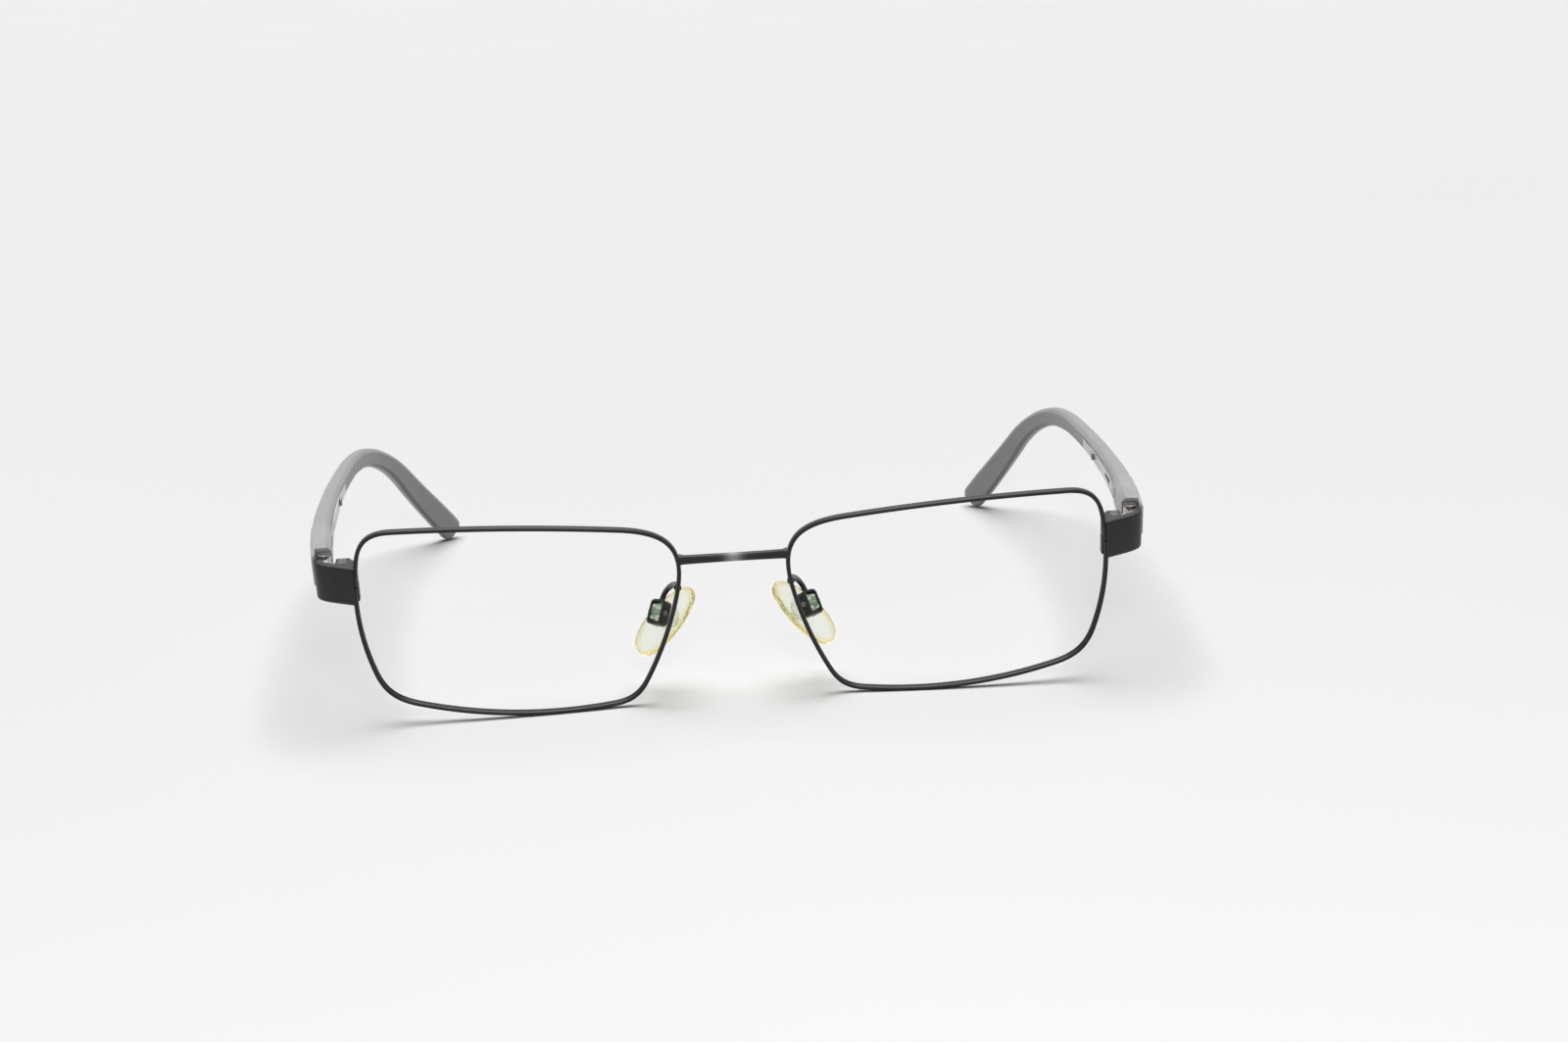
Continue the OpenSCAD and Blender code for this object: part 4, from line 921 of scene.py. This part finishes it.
class Temple:
    """Middle line of the wearer's left temple, and its section, by the distance behind the hinge pin."""

    STEP = 0.5  # between the line's points
    AHEAD = 3  # run of the line in front of the pin
    CURVED_OVER = 100  # run over which the inward curve is given

    def __init__(self):
        s = self.s = bpy.context.scene.glasses_temple
        self.length = s.to_bend + s.bend + s.end
        p = hinge_pin() + self.outward(0) * (s.w_front / 2 - s.hinge_inset) + self.upward(0) * s.rise
        p -= self.along(0) * self.AHEAD
        self.points = []
        i = 0
        while i * self.STEP <= self.length + self.AHEAD:
            self.points.append(p)
            p = p + self.along((i + 0.5) * self.STEP - self.AHEAD) * self.STEP
            i += 1

    def heading(self, x):
        """Outward angle of the line in plan."""
        s = self.s
        into_turn = clamped((x - s.to_bend + s.turn_lead) / (s.bend + 2 * s.turn_lead))
        return s.splay - s.curve * x / self.CURVED_OVER - s.end_turn * into_turn

    def falling(self, x):
        """Downward angle of the line."""
        return self.s.pantoscopic + self.s.drop * clamped((x - self.s.to_bend) / self.s.bend)

    def along(self, x):
        """Direction of the line."""
        a, b = self.heading(x), self.falling(x)
        return Vector((math.sin(a) * math.cos(b), math.cos(a) * math.cos(b), -math.sin(b)))

    def outward(self, x):
        """Level direction away from the head, across the line."""
        a = self.heading(x)
        return Vector((math.cos(a), -math.sin(a), 0))

    def upward(self, x):
        """Upward direction, across the line."""
        a, b = self.heading(x), self.falling(x)
        return Vector((math.sin(a) * math.sin(b), math.cos(a) * math.sin(b), math.cos(b)))

    def at(self, x, out=0, up=0):
        """Point of the line, or beside it."""
        t = (x + self.AHEAD) / self.STEP
        i = min(max(0, math.floor(t)), len(self.points) - 2)
        p = self.points[i] + (self.points[i + 1] - self.points[i]) * (t - i)
        return p + self.outward(x) * out + self.upward(x) * up

    def between(self, x, sizes):
        """Size at a station, from the stations where it is given."""
        for (a, first), (b, second) in zip(sizes, sizes[1:]):
            if x <= b:
                return first + (second - first) * max(0, (x - a) / (b - a))
        return sizes[-1][1]

    def size(self, x):
        """Thickness and height at a station."""
        s = self.s
        paddle = self.length - s.paddle
        w = self.between(x, [
            (0, s.w_front), (s.to_bend, s.w_back), (paddle, s.w_end), (self.length, s.w_end)])
        h = self.between(x, [
            (0, s.h_front), (s.metal, s.h_front - s.taper), (s.to_bend * 0.5, s.h_back + 0.5),
            (s.to_bend * 0.8, s.h_back), (s.to_bend + s.bend * 0.6, s.h_back + 0.2), (paddle, s.h_end),
            (self.length, s.h_end)])
        return w, h

    def bevel_shade(self, x):
        """Share of painted shade on the lower inner bevel, from the bend to the tip."""
        fade_in, fade_out, unshaded_tip = 6, 2, 2.5
        tip_side = clamped((self.length - unshaded_tip - x) / fade_out)
        return min(clamped((x - self.s.to_bend) / fade_in), tip_side)

    def ring(self, x, channel, drawn_in, share):
        """Section ring: eight bevelled sides with rounded corners, and a channel in the inner face."""
        s = self.s
        w, h = self.size(x)
        a, b = w / 2 * share - drawn_in, h / 2 * share - drawn_in
        c, m = min(s.bevel, a / 2), s.strip_half_h * share
        r = 0.35  # reach of the roundings along the bevels
        corners = [Vector(q) for q in (
            (a, -b + c), (a, b - c), (a - c, b), (-a + c, b), (-a, b - c), (-a, m), (-a + channel, m),
            (-a + channel, -m), (-a, -m), (-a, -b + c), (-a + c, -b), (a - c, -b))]
        radii = (r, r, r, r, r, 0, 0, 0, 0, r, r, r)
        return [self.at(x, q.x, q.y) for q in rounded_corners(corners, radii, 3)]


class GLASSES_OT_sleeves(bpy.types.Operator):
    """Plastic temple sleeves, channelled for the metal strip and ending in a rounded paddle."""

    bl_idname = "glasses.sleeves"
    bl_label = "Temple sleeves"

    SEAM = 0.1  # between the metal front and the sleeve
    LIP = 0.16  # rounding of the sleeve's edge at the seam
    LOW = 0.06  # the sleeve lies this much lower than the metal front
    STRIP_CLEAR = 0.04  # between the strip's end and its channel's
    SHALLOW = 0.02  # depth of the channel behind the strip
    BEFORE_TIP = 1  # run that the tip's outline takes in front of its rounding
    # Painted shade falls on these points of each ring.
    SHADED_BEVEL = range(26, 30)  # points of a ring on its lower inner bevel

    def stations(self, temple):
        """Stations with the section's drawing in and its share, and how many of them pass the strip."""
        s = temple.s
        start, strip_end = s.metal + self.SEAM, s.strip + self.STRIP_CLEAR
        tip = temple.length - s.tip_round
        before, lip_end = tip - self.BEFORE_TIP, start + self.LIP
        out = [(start, 2 * self.LIP, 1), (start + self.LIP / 2, self.LIP / 2, 1), (lip_end, 0, 1)]
        out += [(lip_end + (strip_end - lip_end) * k / 40, 0, 1) for k in range(1, 41)]
        deep = len(out)
        out += [(strip_end + self.LIP / 4 + (before - strip_end) * k / 70, 0, 1) for k in range(71)]
        # The tip in outline: its station and its share of the section, down to the middle
        outline = [Vector(p) for p in (
            (before, 1), (tip, 1), (temple.length, s.tip_share), (temple.length, 0), (before, 0))]
        rounded = rounded_corners(outline, (0, 0.5, 0.25, 0, 0), 6)[1:]
        return deep, out + [(p.x, 0, p.y) for p in rounded if p.y > s.tip_share / 2]

    def execute(self, context):
        temple = Temple()
        deep, stations = self.stations(temple)
        lip_end = temple.s.metal + self.SEAM + self.LIP
        rings = [temple.ring(x, temple.s.strip_t if i < deep else self.SHALLOW, drawn_in + self.LOW, share)
                 for i, (x, drawn_in, share) in enumerate(stations)]
        # Painted shade along that bevel, and a darker seam
        layer = [temple.bevel_shade(x) if k in self.SHADED_BEVEL else float(x < lip_end)
                 for x, _, _ in stations for k in range(len(rings[0]))]
        for name, side in SIDES.items():
            piece = loft("sleeve_" + name, [placed(ring, side) for ring in rings], grey_plastic(),
                         layer=layer)
            dress(piece, "temple_" + name, "temple_sleeve_" + name)
        return {"FINISHED"}


def pad_centre():
    """Middle of the wearer's left pad, in the front's frame."""
    s = bpy.context.scene.glasses_pad
    return Vector((s.x, s.y, -s.drop))


def pad_turn():
    """Turns the pad's own axes, X towards its box and Z along its length, into the front's frame."""
    s = bpy.context.scene.glasses_pad
    sideways = Matrix.Rotation(-s.splay, 3, "Z") @ Matrix.Rotation(-s.flare, 3, "Y")
    return Matrix.Rotation(s.rake, 3, "X") @ sideways


class GLASSES_OT_pads(bpy.types.Operator):
    """Clear nose pads, dished towards their box and crowned towards the nose, and their wire arms."""

    bl_idname = "glasses.pads"
    bl_label = "Nose pads"

    AROUND = 72  # points round a pad
    # From the nose side to the box side: place in the thickness from -1 to 1, and share of the outline
    PROFILE = (
        (-1, 0.05), (-0.99, 0.3), (-0.95, 0.55), (-0.84, 0.76), (-0.62, 0.91), (-0.3, 0.985),
        (0, 1), (0.35, 0.99), (0.68, 0.965), (0.88, 0.92), (0.98, 0.86), (1, 0.76),
        (0.96, 0.5), (0.93, 0.25), (0.92, 0.05))
    NARROWER = 0.12  # share by which a pad narrows upwards
    FULLER = 0.85  # power that makes its outline fuller than an ellipse
    CLEAR = 0.7  # share of the outline up to which the silicone is not yellowed
    ARM_STEPS = 30
    ARM_BACK, ARM_RISE = 3, 2.6  # the arm's handles: back from the rim, and up from the box
    ARM_SWELL, ROOT_SWELL = 1.14, 0.3  # the arm's thickness, and what the solder adds to it at the rim

    def pad(self, s):
        """Rings of points round a pad, and how near each point is to its edge."""
        centre, turn = pad_centre(), pad_turn()
        rings, near = [], []
        for place, share in self.PROFILE:
            ring = []
            for k in range(self.AROUND):
                a = 2 * math.pi * k / self.AROUND
                narrowed = 1 - self.NARROWER * math.sin(a)
                across = math.copysign(abs(math.cos(a)) ** self.FULLER, math.cos(a))
                y, z = s.width / 2 * share * narrowed * across, s.length / 2 * share * math.sin(a)
                ring.append(centre + turn @ Vector((place * s.t / 2, y, z)))
            rings.append(ring)
            near += [clamped((share - self.CLEAR) / (1 - self.CLEAR))] * self.AROUND
        return rings, near

    def arm(self, s, eye):
        """Points of the arm from the back of the rim to the top of the box, and its swells."""
        box = Vector((s.t / 2 + s.gap + s.box_d / 2, 0, s.box_rise))
        root = eye.at(eye.edge_point(1, eye.edge_at(1, s.arm_z))) + Vector((0, eye.s.rim_d / 2 + SOLDER, 0))
        up = Matrix.Rotation(-s.box_turn, 3, "X") @ Vector((0, 0, 1))
        end = pad_centre() + pad_turn() @ (box + up * (s.box_l / 2 + SOLDER))
        handles = [root, root + Vector((0, self.ARM_BACK, 0)), end + pad_turn() @ up * self.ARM_RISE, end]
        steps = [k / self.ARM_STEPS for k in range(self.ARM_STEPS + 1)]
        swells = [self.ARM_SWELL + self.ROOT_SWELL * (1 - t) ** 3 for t in steps]
        return [bezier(handles, t) for t in steps], swells

    def execute(self, context):
        s = context.scene.glasses_pad
        rings, near = self.pad(s)
        line, swells = self.arm(s, Eye())
        for name, side in SIDES.items():
            pad = loft("pad_" + name, [placed(ring, side) for ring in rings], clear_silicone(), edge=near)
            dress(pad, "pad_" + name, "nose_pad_" + name)
            outs = [placed_direction((1, 0, 0), side)] * len(line)
            # The arms get no painted highlight.
            unhighlighted = [0] * len(line)
            arm = wire_piece("arm_" + name, placed(line, side), outs, swells, unhighlighted, black_metal(),
                             thickness=2 * s.arm_r * MM, depth=2 * s.arm_r * MM, section_points=24)
            dress(arm, "front", "pad_arm_" + name)
        return {"FINISHED"}


class GLASSES_OT_inner(bpy.types.Operator):
    """Finishes of the pieces that stay as they are: bushes, springs, nuts and core wires."""

    bl_idname = "glasses.inner"
    bl_label = "Inner pieces"

    def execute(self, context):
        finishes = {"hinge_spring": steel(), "spring_nut": steel(), "temple_core": steel(),
                    "slider_bush": brass()}
        for node, material in finishes.items():
            for name in SIDES:
                for slot in frame["nodes"][f"{node}_{name}"].material_slots:
                    slot.material = material
        return {"FINISHED"}


# Stage


class GLASSES_OT_stage(bpy.types.Operator):
    """Camera, pale floor, soft lamps and a white surround."""

    bl_idname = "glasses.stage"
    bl_label = "Stage"

    # The camera's axes and its place in millimetres, in the front's own frame, as solved from the photograph
    RIGHT = Vector((0.99666, -0.07315, -0.03631))
    DOWN = Vector((-0.06189, -0.38647, -0.92022))
    AHEAD = Vector((0.05328, 0.9194, -0.38971))
    CAMERA = Vector((-11.3, -343.12, 160.21))
    FRONT_LAMP = Vector((0.02, 0.1, 0.02))  # metres right of, above and behind the camera
    FRONT_LAMP_SIZE = 0.06
    OVERHEAD_AIM = Vector((0, -0.15, -1))
    OVERHEAD_SPREAD = math.radians(55)
    FLOOR = 40  # metres from the middle to the floor's sides

    def execute(self, context):
        s = context.scene.glasses_stage
        self.camera(context, s)
        self.floor()
        self.lamps(context, s)
        self.world(context, s)
        context.scene.view_settings.view_transform = "Standard"
        return {"FINISHED"}

    def camera(self, context, s):
        """The photograph's camera."""
        data = bpy.data.cameras.new("Camera")
        data.lens = s.focal
        data.sensor_width = 36
        data.clip_start = 0.01
        data.clip_end = 20
        camera = new_object("Camera", data)
        place = front_matrix()
        turn = place.to_3x3().normalized()
        axes = Matrix((turn @ self.RIGHT, turn @ -self.DOWN, turn @ -self.AHEAD))
        camera.matrix_world = Matrix.Translation(place @ self.CAMERA) @ axes.transposed().to_4x4()
        context.scene.camera = camera

    def floor(self):
        """A pale, even floor."""
        mesh = bpy.data.meshes.new("floor")
        r = self.FLOOR
        mesh.from_pydata([(-r, -r, 0), (r, -r, 0), (r, r, 0), (-r, r, 0)], [], [(0, 1, 2, 3)])
        mesh.materials.append(pale_floor())
        new_object("floor", mesh)

    def lamp(self, name, kind, energy, aim, **settings):
        """A lamp that shines along a direction."""
        data = bpy.data.lights.new(name, kind)
        data.energy = energy
        for key, value in settings.items():
            setattr(data, key, value)
        lamp = new_object(name, data)
        lamp.rotation_euler = aim.to_track_quat("-Z", "Y").to_euler()
        return lamp

    def lamps(self, context, s):
        """A wide lamp overhead, and a small one by the camera that shines at the frame."""
        self.lamp("overhead", "SUN", s.sky, self.OVERHEAD_AIM, angle=self.OVERHEAD_SPREAD)
        place = context.scene.camera.matrix_world @ self.FRONT_LAMP
        self.lamp("front_lamp", "AREA", s.flash, -place, size=self.FRONT_LAMP_SIZE).location = place

    def world(self, context, s):
        """A faint surround that looks white itself, in mirrors and through clear pieces."""
        world = bpy.data.worlds.new("Surround")
        context.scene.world = world
        world.use_nodes = True
        tree = world.node_tree
        tree.nodes.clear()
        ray = tree.nodes.new("ShaderNodeLightPath")
        seen = calc(tree, "MAXIMUM", ray.outputs["Is Camera Ray"], ray.outputs["Is Glossy Ray"])
        seen = calc(tree, "MAXIMUM", seen, ray.outputs["Is Transmission Ray"])
        lit = add_node(tree, "ShaderNodeBackground", {"Color": (1, 1, 1, 1), "Strength": s.world})
        white = add_node(tree, "ShaderNodeBackground", {"Color": (1, 1, 1, 1), "Strength": 1})
        mix = add_node(tree, "ShaderNodeMixShader", {0: seen, 1: lit.outputs[0], 2: white.outputs[0]})
        tree.links.new(mix.outputs[0], tree.nodes.new("ShaderNodeOutputWorld").inputs[0])


# Panel and run


OPERATORS = (GLASSES_OT_rims, GLASSES_OT_bridge, GLASSES_OT_endpieces, GLASSES_OT_hardware,
             GLASSES_OT_sleeves, GLASSES_OT_pads, GLASSES_OT_inner, GLASSES_OT_stage)


class GLASSES_PT_panel(bpy.types.Panel):
    """Lists the pieces of the frame and their sizes."""

    bl_label = "Eyeglass frame"
    bl_idname = "GLASSES_PT_panel"
    bl_space_type = "VIEW_3D"
    bl_region_type = "UI"
    bl_category = "Eyeglass frame"

    def draw(self, context):
        for operator in OPERATORS:
            self.layout.operator(operator.bl_idname)
        for name, group in GROUPS.items():
            box = self.layout.box()
            for key in group.__annotations__:
                box.prop(getattr(context.scene, name), key)


CLASSES = (*GROUPS.values(), *OPERATORS, GLASSES_PT_panel)


def register():
    for cls in CLASSES:
        bpy.utils.register_class(cls)
    for name, group in GROUPS.items():
        setattr(bpy.types.Scene, name, PointerProperty(type=group))


def unregister():
    for name in GROUPS:
        delattr(bpy.types.Scene, name)
    for cls in reversed(CLASSES):
        bpy.utils.unregister_class(cls)


def main():
    """Builds the frame and its stage."""
    register()
    bpy.ops.glasses.rims()
    bpy.ops.glasses.bridge()
    bpy.ops.glasses.endpieces()
    bpy.ops.glasses.hardware()
    bpy.ops.glasses.sleeves()
    bpy.ops.glasses.pads()
    bpy.ops.glasses.inner()
    bpy.ops.glasses.stage()


if __name__ == "__main__":
    main()
